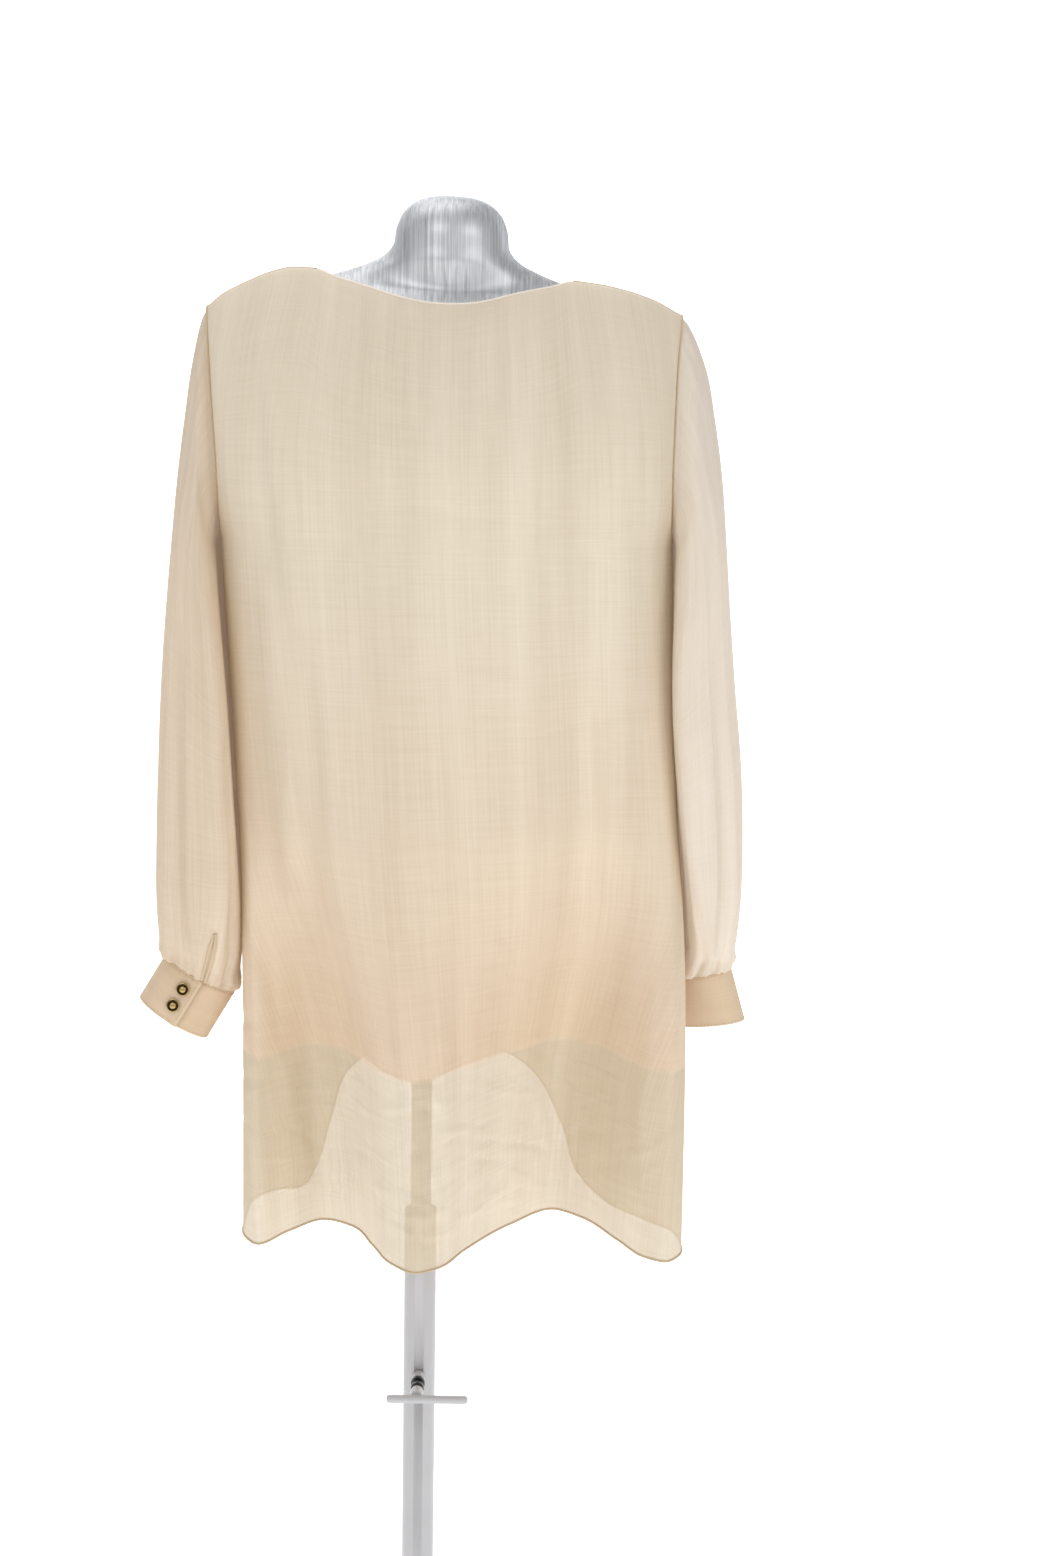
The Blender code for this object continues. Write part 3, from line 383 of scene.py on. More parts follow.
def sheer_cloth(name, light, dark, cover, glow, unlined_from=None):
    """Thin woven cloth: see-through between its threads, uneven along the warp and the weft.

    The threads are 0.25 mm apart and drawn as coarse as 2 mm, the finest that shows. Down its
    UV map the cloth takes on more of the lining's peach, as far as unlined_from. Below that
    nothing lies behind it, so more light comes through, and its colour is darkened there as
    painted shade.
    """
    made, tree = new_material(name)
    grain = add_node(tree, "UVMap", uv_map="cloth")
    tones = []
    for width, length, detail in ((0.0020, 0.13, 3.0), (0.07, 0.0020, 3.0), (0.045, 0.80, 2.0)):
        at = add_node(tree, "Mapping", {"Vector": grain, "Scale": (1 / width, 1 / length, 1)})
        noise = add_node(tree, "TexNoise", {"Vector": at, "Scale": 1.0, "Detail": detail, "Roughness": 0.6})
        tones.append(add_node(tree, "MapRange", {"Value": noise, "From Min": 0.28, "From Max": 0.72}))
    warp, weft, streak = tones
    threads = add_node(tree, "Mix", {0: 0.4, 2: warp, 3: weft}, data_type="FLOAT")
    uneven = add_node(tree, "Mix", {0: 0.35, 2: threads, 3: streak}, data_type="FLOAT")
    colour = add_node(tree, "Mix", {0: uneven, 6: linear(dark), 7: linear(light)}, data_type="RGBA")
    if unlined_from is not None:
        down = add_node(tree, "SeparateXYZ", {"Vector": grain}).outputs["Y"]
        tinted = []
        # The first multiplier gives the lining's peach; the second darkens the cloth below the lining as
        # painted shade.
        for near, far, tint in ((0.45, 0.0, LINED_TINT), (0.003, -0.003, UNLINED_PAINTED_SHADE)):
            ends = {"From Min": unlined_from + far, "From Max": unlined_from + near}
            share = add_node(tree, "MapRange", {"Value": down, **ends, "To Min": 1.0, "To Max": 0.0})
            inputs = {0: 1.0, 6: colour, 7: tint}
            tinted.append((share, add_node(tree, "Mix", inputs, data_type="RGBA", blend_type="MULTIPLY")))
        for share, deeper in tinted:
            colour = add_node(tree, "Mix", {0: share, 6: colour, 7: deeper}, data_type="RGBA")
    covering = add_node(tree, "MapRange", {"Value": threads, "To Min": cover + 0.04, "To Max": cover - 0.04})
    if unlined_from is not None:
        thinner = add_node(tree, "Math", {0: covering, 1: UNLINED_COVER}, operation="MULTIPLY")
        covering = add_node(tree, "Mix", {0: tinted[-1][0], 2: covering, 3: thinner}, data_type="FLOAT")
    grit = {"Scale": 1 / 0.016, "Detail": 4.0, "Roughness": 0.6}
    crinkle = add_node(tree, "TexNoise", {"Vector": grain, **grit})
    relief = add_node(tree, "Mix", {0: 0.25, 2: crinkle, 3: threads}, data_type="FLOAT")
    bump = add_node(tree, "Bump", {"Height": relief, "Strength": 0.5, "Distance": 0.0012})
    cloth = add_node(
        tree, "BsdfPrincipled",
        {"Base Color": colour, "Roughness": 0.85, "Specular IOR Level": 0.2, "Normal": bump},
    )
    through = add_node(tree, "BsdfTranslucent", {"Color": colour, "Normal": bump})
    lit = add_node(tree, "MixShader", {0: glow, 1: cloth, 2: through})
    holes = add_node(tree, "BsdfTransparent")
    both = add_node(tree, "MixShader", {0: covering, 1: holes, 2: lit})
    add_node(tree, "OutputMaterial", {"Surface": both})
    return made


# The peach tint from the lining behind the cloth, the painted shade that darkens the cloth below
# the lining, how much of its cover is left there, and the light that comes through each panel.
LINED_TINT = (1.0, 0.915, 0.855, 1.0)
UNLINED_PAINTED_SHADE = (0.875, 0.843, 0.785, 1.0)
UNLINED_COVER = 0.95
PANEL_GLOW = {"back": 0.06, "front": 0.35}
LINING_HEM_LEVEL = 2 + (UNDERARM_HEIGHT - LINING_HEM_HEIGHT) / (UNDERARM_HEIGHT - HEM_HEIGHT)
panels, panel_pieces = {}, {}
for side, label, creases in ((1, "back", BACK_CREASES), (-1, "front", FRONT_CREASES)):
    panels[label] = body_panel(side, PANEL_LEVELS, PANEL_COLUMNS, creases, fine=wrinkles(5 + side))
    hem_of_lining = -np.interp(LINING_HEM_LEVEL, PANEL_LEVELS, cloth_lengths(panels[label][0])[1])
    glow = PANEL_GLOW[label]
    finish = sheer_cloth(f"cream_chiffon_{label}", "#F6ECD8", "#D7C7B0", 0.94, glow, hem_of_lining)
    panel_pieces[label] = add_cloth(f"blouse_{label}", panels[label][0], finish)
    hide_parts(label)
(back_grid, back_normals), (front_grid, front_normals) = panels["back"], panels["front"]


# The rolled hem: the edge of each panel is turned twice into a tight roll 2 mm deep and
# stitched through, so four layers of the chiffon make it look darker than the cloth above it.
HEM_ROLL_RADIUS = 0.0011
ROLL_SIDES = 8


def capped_faces(count, sides):
    """Faces of a tube of rings with both of its ends closed."""
    faces = grid_faces(count, sides, closed=True)
    return faces + [tuple(range(sides))[::-1], tuple((count - 1) * sides + c for c in range(sides))]


def tube_rings(path, first, second, radius, sides):
    """Rings of a tube round a line of points. The radius is one number or a column of them."""
    rings = [path + radius * (math.cos(a) * first + math.sin(a) * second) for a in around(sides)]
    return np.array(rings).transpose(1, 0, 2)


def add_roll(name, path, radius, finish, ends_meet=False):
    """A rolled or bound edge as a closed cord of cloth that rides with the blouse."""
    if ends_meet:
        tangent = np.roll(path, -1, axis=0) - np.roll(path, 1, axis=0)
    else:
        tangent = np.gradient(path, axis=0)
    tangent = unit(tangent)
    first = unit(np.cross(tangent, (0.0, 0.0, 1.0)))
    rings = tube_rings(path, first, np.cross(tangent, first), radius, ROLL_SIDES)
    count = len(path)
    if ends_meet:
        faces = grid_faces(count, ROLL_SIDES, closed=True)
        last = (count - 1) * ROLL_SIDES
        for c in range(ROLL_SIDES):
            beside = (c + 1) % ROLL_SIDES
            faces.append((last + c, last + beside, beside, c))
    else:
        faces = capped_faces(count, ROLL_SIDES)
    u, v = np.meshgrid(np.arange(ROLL_SIDES) * radius, run_length(path))
    return add_mesh(name, rings, faces, finish, "form", np.stack((u, v), axis=-1))


layered = sheer_cloth("layered_chiffon", "#DECAAD", "#CAB392", 0.97, 0.05)
back_hem = add_roll("back_rolled_hem", back_grid[-1], HEM_ROLL_RADIUS, layered)
front_hem = add_roll("front_rolled_hem", front_grid[-1], HEM_ROLL_RADIUS, layered)

# The side and shoulder seams are overlocked and pressed to the back, so a fine cord of layered
# cloth runs inside each of them.
SIDE_SEAM_RADIUS = 0.0007
underarm_row = int(np.searchsorted(PANEL_LEVELS, 2.0))
for label, column in (("left", 0), ("right", -1)):
    path = (back_grid[underarm_row:, column] + front_grid[underarm_row:, column]) / 2
    add_roll(f"side_seam_{label}", path, SIDE_SEAM_RADIUS, layered)
neck_first = round(PANEL_COLUMNS * NECK_SHARE)
neck_last = PANEL_COLUMNS - neck_first
for label, columns in (("left", slice(0, neck_first + 1)), ("right", slice(neck_last, None))):
    path = (back_grid[0, columns] + front_grid[0, columns]) / 2
    add_roll(f"shoulder_seam_{label}", path, SIDE_SEAM_RADIUS, layered)


# The lining: a back and a front of plain peach voile that hang a few millimetres inside the
# blouse and end about 170 mm above its hem. They show the body's shape through the chiffon.
LINING_INSET = np.array((
    (0.715, 0.0060), (0.930, 0.0040), (1.190, 0.0034), (1.300, 0.0022), (1.390, 0.0016),
))
LINING_LEVELS = np.concatenate((
    np.linspace(0, 1, 60), TO_UNDERARM, np.linspace(2, LINING_HEM_LEVEL, 90)[1:],
))
LINING_COLUMNS = 160
LINING_ROLL_RADIUS = 0.0010

voile = sheer_cloth("peach_lining", "#F0CFB4", "#E4BE9F", 0.90, 0.12)
voile_roll = sheer_cloth("turned_peach_lining", "#DDB999", "#D3AC8A", 0.97, 0.05)
for side, label, creases in ((1, "back", BACK_CREASES), (-1, "front", FRONT_CREASES)):
    grid, _ = body_panel(side, LINING_LEVELS, LINING_COLUMNS, creases, LINING_INSET)
    piece = add_cloth(f"lining_{label}_voile", grid, voile)
    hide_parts(f"lining_{label}")
    roll = add_roll(f"lining_{label}_hem", grid[-1], LINING_ROLL_RADIUS, voile_roll)


# The neck binding: a narrow folded strip of the chiffon that closes the neck edge of the
# blouse and its lining. It stands 3 mm proud of them, sewn down from the inside.
BINDING_HEIGHT = 0.003
BINDING_OUTSIDE = 0.0003
BINDING_INSIDE = -0.0026
STRIP_SIDES = 12


def tidy_turns(vectors, rounds):
    """Unit vectors round a loop, averaged with their neighbours."""
    for _ in range(rounds):
        vectors = unit(np.roll(vectors, 1, axis=0) + 2 * vectors + np.roll(vectors, -1, axis=0))
    return vectors


over, under = slice(neck_first, neck_last + 1), slice(neck_last - 1, neck_first, -1)
neck_points = np.concatenate((back_grid[0, over], front_grid[0, under]))
neck_out = tidy_turns(np.concatenate((back_normals[0, over], front_normals[0, under])), 12)
tangent = unit(np.roll(neck_points, -1, axis=0) - np.roll(neck_points, 1, axis=0))
neck_up = unit(np.cross(neck_out, tangent))
neck_up *= np.sign(np.einsum("ij,ij->i", neck_up, neck_points.mean(axis=0) - neck_points))[:, None]
neck_up = tidy_turns(neck_up, 6)
section = []
middle, half = (BINDING_OUTSIDE + BINDING_INSIDE) / 2, (BINDING_OUTSIDE - BINDING_INSIDE) / 2
for turn in around(STRIP_SIDES):
    upward = math.copysign(abs(math.cos(turn)) ** 0.6, math.cos(turn))
    rise = GAP + BINDING_HEIGHT * (0.5 - 0.5 * upward)
    shift = middle + half * math.sin(turn)
    section.append(neck_points + neck_up * rise + neck_out * shift)
section = np.array(section + section[:1])
bound_edge = sheer_cloth("bias_binding_chiffon", "#FFF6EA", "#F6E8D6", 0.98, 0.05)
binding = add_cloth("neck_binding_strip", section, bound_edge, closed=True)
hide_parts("neck_binding")


# The sleeves: one piece each of the chiffon, wide and straight, eased into the armhole and
# gathered into the cuff. They hang beside the body, and the white sheet behind shows through.
# Rings: x and height of the outer and inner edge, half depth, middle y, sag of the ring, how
# flat it is on the side at the body, and its folds.
LEFT_SLEEVE = np.array((
    (0.2040, 1.370, 0.1882, 1.186, 0.0590, 0.002, 0.036, 0.20, 0.0000),
    (0.2095, 1.338, 0.1884, 1.174, 0.0625, 0.004, 0.028, 0.35, 0.0006),
    (0.2148, 1.296, 0.1876, 1.156, 0.0650, 0.006, 0.018, 0.50, 0.0012),
    (0.2205, 1.248, 0.1864, 1.132, 0.0670, 0.008, 0.008, 0.60, 0.0018),
    (0.2262, 1.188, 0.1836, 1.098, 0.0670, 0.010, 0.000, 0.75, 0.0022),
    (0.2315, 1.128, 0.1802, 1.058, 0.0660, 0.010, 0.000, 0.80, 0.0024),
    (0.2365, 1.060, 0.1768, 1.010, 0.0650, 0.010, 0.000, 0.80, 0.0024),
    (0.2400, 0.985, 0.1734, 0.955, 0.0630, 0.010, 0.000, 0.80, 0.0022),
    (0.2425, 0.915, 0.1704, 0.900, 0.0600, 0.010, 0.000, 0.80, 0.0018),
    (0.2435, 0.860, 0.1688, 0.850, 0.0560, 0.010, 0.000, 0.70, 0.0010),
    (0.2405, 0.822, 0.1686, 0.806, 0.0440, 0.010, 0.000, 0.40, 0.0004),
))
RIGHT_SLEEVE = np.array((
    (-0.2375, 1.366, -0.2222, 1.186, 0.0590, 0.002, 0.036, 0.20, 0.0000),
    (-0.2472, 1.336, -0.2230, 1.174, 0.0625, 0.002, 0.028, 0.35, 0.0006),
    (-0.2545, 1.296, -0.2239, 1.156, 0.0650, 0.002, 0.018, 0.50, 0.0012),
    (-0.2615, 1.248, -0.2249, 1.132, 0.0670, 0.002, 0.008, 0.60, 0.0018),
    (-0.2670, 1.188, -0.2250, 1.098, 0.0670, 0.002, 0.000, 0.75, 0.0022),
    (-0.2720, 1.128, -0.2258, 1.058, 0.0660, 0.000, 0.000, 0.80, 0.0024),
    (-0.2785, 1.060, -0.2275, 1.010, 0.0650, -0.002, 0.000, 0.80, 0.0024),
    (-0.2870, 0.985, -0.2302, 0.955, 0.0630, -0.006, 0.000, 0.80, 0.0022),
    (-0.2915, 0.915, -0.2338, 0.900, 0.0600, -0.012, 0.000, 0.75, 0.0018),
    (-0.2925, 0.860, -0.2368, 0.850, 0.0560, -0.018, 0.000, 0.60, 0.0010),
    (-0.2895, 0.816, -0.2372, 0.806, 0.0470, -0.026, 0.000, 0.15, 0.0004),
))
OUTER_X, OUTER_Z, INNER_X, INNER_Z, HALF_DEPTH, MIDDLE_Y, SAG = range(7)
LEFT_CUFF = np.array((
    (0.2370, 0.8040, 0.1730, 0.7700, 0.0250, 0.006),
    (0.2610, 0.7640, 0.1990, 0.7260, 0.0270, 0.006),
))
RIGHT_CUFF = np.array((
    (-0.2870, 0.7915, -0.2290, 0.7820, 0.0320, -0.040),
    (-0.3020, 0.7385, -0.2260, 0.7335, 0.0250, -0.044),
))
SLEEVE_COLUMNS = 192
SLEEVE_SHARES = np.concatenate((
    np.linspace(0, 0.12, 24), np.linspace(0.12, 0.82, 90)[1:], np.linspace(0.82, 1, 60)[1:],
))
CUFF_PUFF = 0.0030
SLEEVE_TUCK = 0.0060
# The right sleeve's tuck fades in from the first height up, over the second number.
TUCK_FROM, TUCK_RISE = 0.87, 0.22

# Gathers into the cuff: how many round it, phase, depth, and how far up they reach.
SLEEVE_GATHERS = (
    (23, 0.4, 0.0008, 0.022), (31, 1.9, 0.0006, 0.016), (14, 2.6, 0.0012, 0.050),
    (9, 0.9, 0.0014, 0.090), (5, 4.1, 0.0016, 0.150),
)
# Long soft folds: angle from the outer side towards the back, drift, start and end as shares
# of the sleeve's length, half width as an angle, rise.
SLEEVE_FOLDS = (
    (0.95, -0.10, 0.10, 0.95, 0.16, 0.0042), (1.30, 0.10, 0.30, 0.98, 0.13, -0.0048),
    (1.72, -0.20, 0.16, 0.90, 0.18, 0.0044), (2.20, -0.10, 0.45, 0.98, 0.15, -0.0040),
    (0.45, 0.12, 0.38, 0.98, 0.14, -0.0036), (-0.80, 0.10, 0.12, 0.92, 0.18, 0.0030),
    (-1.25, -0.10, 0.30, 0.98, 0.15, -0.0034), (-1.80, 0.20, 0.20, 0.95, 0.18, 0.0030),
    (-2.30, 0.10, 0.50, 0.98, 0.15, -0.0028),
)
# Ease at the sleeve head: puckers round it, phase, depth.
HEAD_EASE = ((18, 0.3, 0.0009), (27, 1.7, 0.0005))


def ring(row, angles):
    """Points of a sleeve or cuff ring: an ellipse, or flatter on the side at the body."""
    half_x, half_z = (row[OUTER_X] - row[INNER_X]) / 2, (row[OUTER_Z] - row[INNER_Z]) / 2
    middle_x, middle_z = (row[OUTER_X] + row[INNER_X]) / 2, (row[OUTER_Z] + row[INNER_Z]) / 2
    sag, press, fold = row[SAG:] if len(row) > SAG else (0.0, 0.0, 0.0)
    swell = 1 + fold / abs(half_x) * np.cos(3 * angles + 0.6)
    across = np.cos(angles)
    tuck = np.where(across < 0, 2 * np.abs(across * np.sin(angles)), 0.0)
    tuck *= np.where(np.sin(angles) < 0, 0.6, 1.0)
    across = np.where(across < 0, -np.abs(across) ** (1 - press), across)
    inward = SLEEVE_TUCK * min(1.0, press / 0.6)
    if half_x < 0:
        inward *= float(smooth((middle_z - TUCK_FROM) / TUCK_RISE))
    x = middle_x + half_x * across * swell - math.copysign(inward, half_x) * tuck
    y = row[MIDDLE_Y] + row[HALF_DEPTH] * np.sin(angles) * swell
    z = middle_z + half_z * across * swell - sag * np.sin(angles) ** 2
    return np.stack((x, y, z), axis=1)


def armhole_ring(share, step, count):
    """The body's armhole edge as a ring: down the back from the shoulder, up the front."""
    turn = np.arange(count) / count * 2
    points = np.empty((count, 3))
    for side, part, place in ((1, turn < 1, 2 * turn), (-1, turn >= 1, 2 * (2 - turn))):
        place = place[part]
        edge = np.full(part.sum(), share)
        points[part] = body_point(side, edge, place)
        points[part] -= body_normal(side, edge, place) * edge_roll(place, 0.0)[:, None]
    points[:, 0] += step
    return points


def cuff_lift(cuff, distance):
    """The cuff's first row, moved up the sleeve by a distance."""
    across = np.array((cuff[0][OUTER_X] - cuff[0][INNER_X], 0.0, cuff[0][OUTER_Z] - cuff[0][INNER_Z]))
    axis = np.cross(across, (0.0, 1.0, 0.0))
    axis = axis / np.linalg.norm(axis) * np.sign(axis[2]) * distance
    row = cuff[0].copy()
    row[[OUTER_X, INNER_X]] += axis[0]
    row[[OUTER_Z, INNER_Z]] += axis[2]
    return row


def grid_normals(grid):
    """Unit normals of a grid of points that closes along its rows."""
    over = np.roll(grid, -1, axis=1) - np.roll(grid, 1, axis=1)
    return unit(np.cross(np.gradient(grid, axis=0), over))


def sleeve_grid(side, share, table, cuff):
    """Fine points and normals of a sleeve, on a smooth run through its rings."""
    angles = around(SLEEVE_COLUMNS)
    rings = [armhole_ring(share, side * 2 * GAP, SLEEVE_COLUMNS)]
    rings += [ring(row, angles) for row in table]
    rings.append(ring(np.concatenate((cuff_lift(cuff, 0.0004), (0.0, 0.0, 0.0))), angles))
    stack = np.array(rings).reshape(len(rings), -1)
    grid = along(stack, SLEEVE_SHARES).reshape(len(SLEEVE_SHARES), SLEEVE_COLUMNS, 3)
    normals = side * grid_normals(grid)
    left = np.linalg.norm(grid - grid[-1], axis=2)
    fallen = np.linalg.norm(grid - grid[0], axis=2)
    turns = angles[None, :]
    rise = 0 * left
    for count, phase, depth, reach in SLEEVE_GATHERS:
        rise += depth * np.cos(count * turns + side * phase) * np.exp(-((left / reach) ** 2))
    for angle, drift, start, stop, width, height in SLEEVE_FOLDS:
        centre = angle + drift * np.linspace(0, 1, len(SLEEVE_SHARES))[:, None]
        off = (turns - centre + math.pi) % (2 * math.pi) - math.pi
        run = SLEEVE_SHARES[:, None]
        ends = smooth((run - start) / 0.12) * smooth((stop - run) / 0.12)
        rise += height * np.exp(-((off / width) ** 2)) * ends
    for count, phase, depth in HEAD_EASE:
        head = np.exp(-((fallen / 0.035) ** 2)) * np.clip(np.cos(turns), 0, 1)
        rise += depth * np.cos(count * turns + phase) * head
    pinch = smooth(left / 0.004) * smooth(fallen / 0.008)
    puff = CUFF_PUFF * np.exp(-(((left - 0.010) / 0.008) ** 2))
    puff = puff - 0.0022 * np.exp(-((fallen / 0.006) ** 2)) * (fallen > 0)
    grid = grid + normals * ((rise + puff) * pinch)[..., None]
    return grid, side * grid_normals(grid)


# The same chiffon on both sleeves, painted lighter on the right one than on the left: painted light and
# shade.
SLEEVE_PAINTED_LIGHT_TONES = {"left": ("#F8EAD6", "#D5C2AA"), "right": ("#FFF6EA", "#E2D6C4")}
ARMHOLE_CORD_RADIUS = 0.0009
sleeves = {}
for side, label, share, table, cuff in (
    (1, "left", 0.0, LEFT_SLEEVE, LEFT_CUFF), (-1, "right", 1.0, RIGHT_SLEEVE, RIGHT_CUFF),
):
    grid, normals = sleeve_grid(side, share, table, cuff)
    sleeves[label] = grid, normals
    finish = sheer_cloth(f"cream_chiffon_sleeve_{label}", *SLEEVE_PAINTED_LIGHT_TONES[label], 0.89, 0.24)
    piece = add_cloth(f"sleeve_{label}_chiffon", grid, finish, closed=True)
    name = f"armhole_seam_{label}"
    seam = add_roll(name, grid[0], ARMHOLE_CORD_RADIUS, layered, ends_meet=True)
    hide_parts(f"sleeve_{label}")


# The cuffs: deep bands of doubled chiffon, each lapped over itself and held by two buttons, the
# left one at the back as in the photo, the right one at the front, where the photo hides it.
CUFF_WALL = 0.0018
CUFF_OVERLAP = 0.085
CUFF_COLUMNS = 160
CUFF_LEVELS = np.linspace(0.0, 1.0, 17)
LEFT_CLOSURE = math.radians(84.0)
RIGHT_CLOSURE = math.radians(-130.0)


def cuff_band(cuff, closure):
    """Outer points and normals of a band whose end laps over its beginning."""
    share = np.linspace(0.0, 1.0 + CUFF_OVERLAP, CUFF_COLUMNS)
    angles = closure + 2 * math.pi * (share - 1.0 - CUFF_OVERLAP / 2)
    grid = np.array([ring(cuff[0] * (1 - level) + cuff[1] * level, angles) for level in CUFF_LEVELS])
    normals = unit(np.cross(np.gradient(grid, axis=0), np.gradient(grid, axis=1)))
    normals *= np.sign((normals * (grid - grid.mean(axis=(0, 1)))).sum())
    under = smooth(1 - (share - CUFF_OVERLAP * 1.4) / 0.18)
    lift = 0.0026 * smooth((share - share[-1] + 0.05) / 0.05)
    grid = grid + normals * (lift - (CUFF_WALL + 1.5 * GAP) * under)[None, :, None]
    return grid, normals


def wall_faces(rows, columns):
    """Faces of a closed wall: outer points first, inner points after them."""
    count = rows * columns
    faces = grid_faces(rows, columns)
    faces += [tuple(count + i for i in reversed(face)) for face in faces]
    rim = list(range(columns)) + [r * columns + columns - 1 for r in range(1, rows)]
    rim += [(rows - 1) * columns + c for c in range(columns - 2, -1, -1)]
    rim += [r * columns for r in range(rows - 2, 0, -1)]
    for a, b in zip(rim, rim[1:] + rim[:1]):
        faces.append((b, a, a + count, b + count))
    return faces


cuff_cloth = sheer_cloth("doubled_chiffon", "#EAD4B9", "#D4BB9B", 0.97, 0.05)
cuffs = {}
for label, cuff, closure in (("left", LEFT_CUFF, LEFT_CLOSURE), ("right", RIGHT_CUFF, RIGHT_CLOSURE)):
    grid, normals = cuff_band(cuff, closure)
    cuffs[label] = grid, normals
    over, down = cloth_lengths(grid)
    u, v = np.meshgrid(over, -down)
    both = np.concatenate((grid.reshape(-1, 3), (grid - normals * CUFF_WALL).reshape(-1, 3)))
    where = np.concatenate((np.stack((v, u), axis=-1).reshape(-1, 2),) * 2)
    faces = wall_faces(*grid.shape[:2])
    if label == "left":
        faces = [face[::-1] for face in faces]
    piece = add_mesh(f"cuff_{label}_band", both, faces, cuff_cloth, "form", where)
    soften = piece.modifiers.new("soft_edges", "BEVEL")
    soften.width = 0.0006
    soften.segments = 3
    soften.limit_method = "ANGLE"
    soften.angle_limit = math.radians(50)
    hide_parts(f"cuff_{label}")


# The dress form: a smooth limbless glass-fibre shell with a domed neck, sprayed with silver
# paint and brushed down the neck. It leans a little on its pole.
# Sections: height, half width, half depth at the back and at the front, roundness.
FORM = np.array((
    (0.9060, 0.118, 0.074, 0.072, 2.1), (0.9120, 0.136, 0.088, 0.084, 2.2),
    (0.9300, 0.150, 0.098, 0.094, 2.2), (0.9700, 0.156, 0.102, 0.098, 2.2),
    (1.0200, 0.140, 0.090, 0.094, 2.2), (1.0700, 0.128, 0.082, 0.094, 2.2),
    (1.1200, 0.134, 0.088, 0.110, 2.2), (1.1700, 0.146, 0.098, 0.130, 2.2),
    (1.2100, 0.154, 0.104, 0.132, 2.3), (1.2600, 0.164, 0.106, 0.118, 2.4),
    (1.3100, 0.176, 0.098, 0.094, 2.4), (1.3500, 0.183, 0.082, 0.076, 2.3),
    (1.3800, 0.181, 0.064, 0.060, 2.1), (1.3949, 0.171, 0.0505, 0.046, 1.9),
    (1.4043, 0.154, 0.0445, 0.038, 1.6), (1.4099, 0.132, 0.0420, 0.032, 1.5),
    (1.4200, 0.100, 0.0435, 0.037, 1.45), (1.4285, 0.076, 0.0455, 0.045, 1.6),
    (1.4366, 0.060, 0.0475, 0.049, 1.8), (1.4450, 0.0522, 0.047, 0.050, 2.0),
    (1.4620, 0.0490, 0.048, 0.051, 2.0), (1.4760, 0.0428, 0.043, 0.046, 2.0),
    (1.4850, 0.0325, 0.034, 0.037, 2.0), (1.4900, 0.0170, 0.019, 0.021, 2.0),
    (1.4905, 0.0010, 0.001, 0.001, 2.0),
))
FORM_LEAN = math.radians(2.0)
FORM_BASE_HEIGHT = 0.906
FORM_SIDES = 112
# Under the cloth the shell is a little smaller, and more so at the hips, to clear its creases.
FORM_EASE = 0.0012
HIP_EASE = 0.0024
HIP_HEIGHT = 0.952


def silver_paint():
    """Sprayed silver lacquer, brushed downward, so it shows fine vertical streaks."""
    made, tree = new_material("brushed_silver_paint")
    at = add_node(tree, "TexCoord").outputs["Object"]
    long_at = add_node(tree, "Mapping", {"Vector": at, "Scale": (1 / 0.0016, 1 / 0.012, 1 / 0.25)})
    streaks = add_node(tree, "TexNoise", {"Vector": long_at, "Scale": 1.0, "Detail": 4.0, "Roughness": 0.7})
    tone = add_node(tree, "MapRange", {"Value": streaks, "From Min": 0.3, "From Max": 0.7})
    colour = add_node(tree, "Mix", {0: tone, 6: linear("#A9ABAE"), 7: linear("#E0E2E5")}, data_type="RGBA")
    rough = add_node(tree, "MapRange", {"Value": streaks, "To Min": 0.42, "To Max": 0.52})
    bump = add_node(tree, "Bump", {"Height": streaks, "Strength": 0.05, "Distance": 0.0003})
    tint = (0.45, 0.46, 0.48, 1.0)
    paint = add_node(
        tree, "BsdfPrincipled",
        {"Base Color": colour, "Metallic": 0.85, "Roughness": rough, "Specular Tint": tint, "Normal": bump},
    )
    add_node(tree, "OutputMaterial", {"Surface": paint})
    return made


lean = (
    Matrix.Translation((0, 0, FORM_BASE_HEIGHT))
    @ Matrix.Rotation(-FORM_LEAN, 4, "Y")
    @ Matrix.Translation((0, 0, -FORM_BASE_HEIGHT))
)
sections = along(FORM, np.linspace(0, 1, 190), slice(0, 2))
turn = around(FORM_SIDES)
cosine, sine = np.cos(turn), np.sin(turn)
form_points = []
for height, width, back_half, front_half, power in sections:
    ease = FORM_EASE * float(smooth((1.43 - height) / 0.015) * smooth((height - 0.915) / 0.015))
    ease += HIP_EASE * math.exp(-(((height - HIP_HEIGHT) / 0.025) ** 2))
    depth = np.where(sine > 0, back_half - ease, front_half - ease)
    x = (width - ease) * np.sign(cosine) * np.abs(cosine) ** (2 / power)
    y = depth * np.sign(sine) * np.abs(sine) ** (2 / power)
    form_points += [lean @ Vector((a, b, height)) for a, b in zip(x, y)]
form_faces = capped_faces(len(sections), FORM_SIDES)
torso = add_mesh("torso_shell", form_points, form_faces, silver_paint(), "form")
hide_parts("form_torso")


# The bound slits: above each cuff the sleeve is cut open for 66 mm and its edges are bound with
# narrow folded strips that meet over the slit. A bar tack closes its top.
SLIT_LENGTH = 0.066
STRIP_WIDTH = 0.0030
STRIP_THICKNESS = 0.0007
STRIP_POINTS = 40
TACK_POINTS = 9
SLEEVE_SLITS = {"left": 7.4 / 27, "right": 17 / 27}


def laid_strip(line, across, normal, width, thickness):
    """Rings of a flat folded strip with soft edges that lies on a line of points.

    The width is one number, or a column of one for each point.
    """
    rings = []
    for turn in around(STRIP_SIDES):
        over = width / 2 * math.copysign(abs(math.cos(turn)) ** 0.5, math.cos(turn))
        rise = thickness / 2 * math.copysign(abs(math.sin(turn)) ** 0.7, math.sin(turn))
        rings.append(line + across * over + normal * rise)
    return np.array(rings).transpose(1, 0, 2)


def points_at(places, run, points):
    """Points at some lengths along a line, whose own points lie at the lengths in run."""
    return np.stack([np.interp(places, run, points[:, i]) for i in range(3)], axis=1)


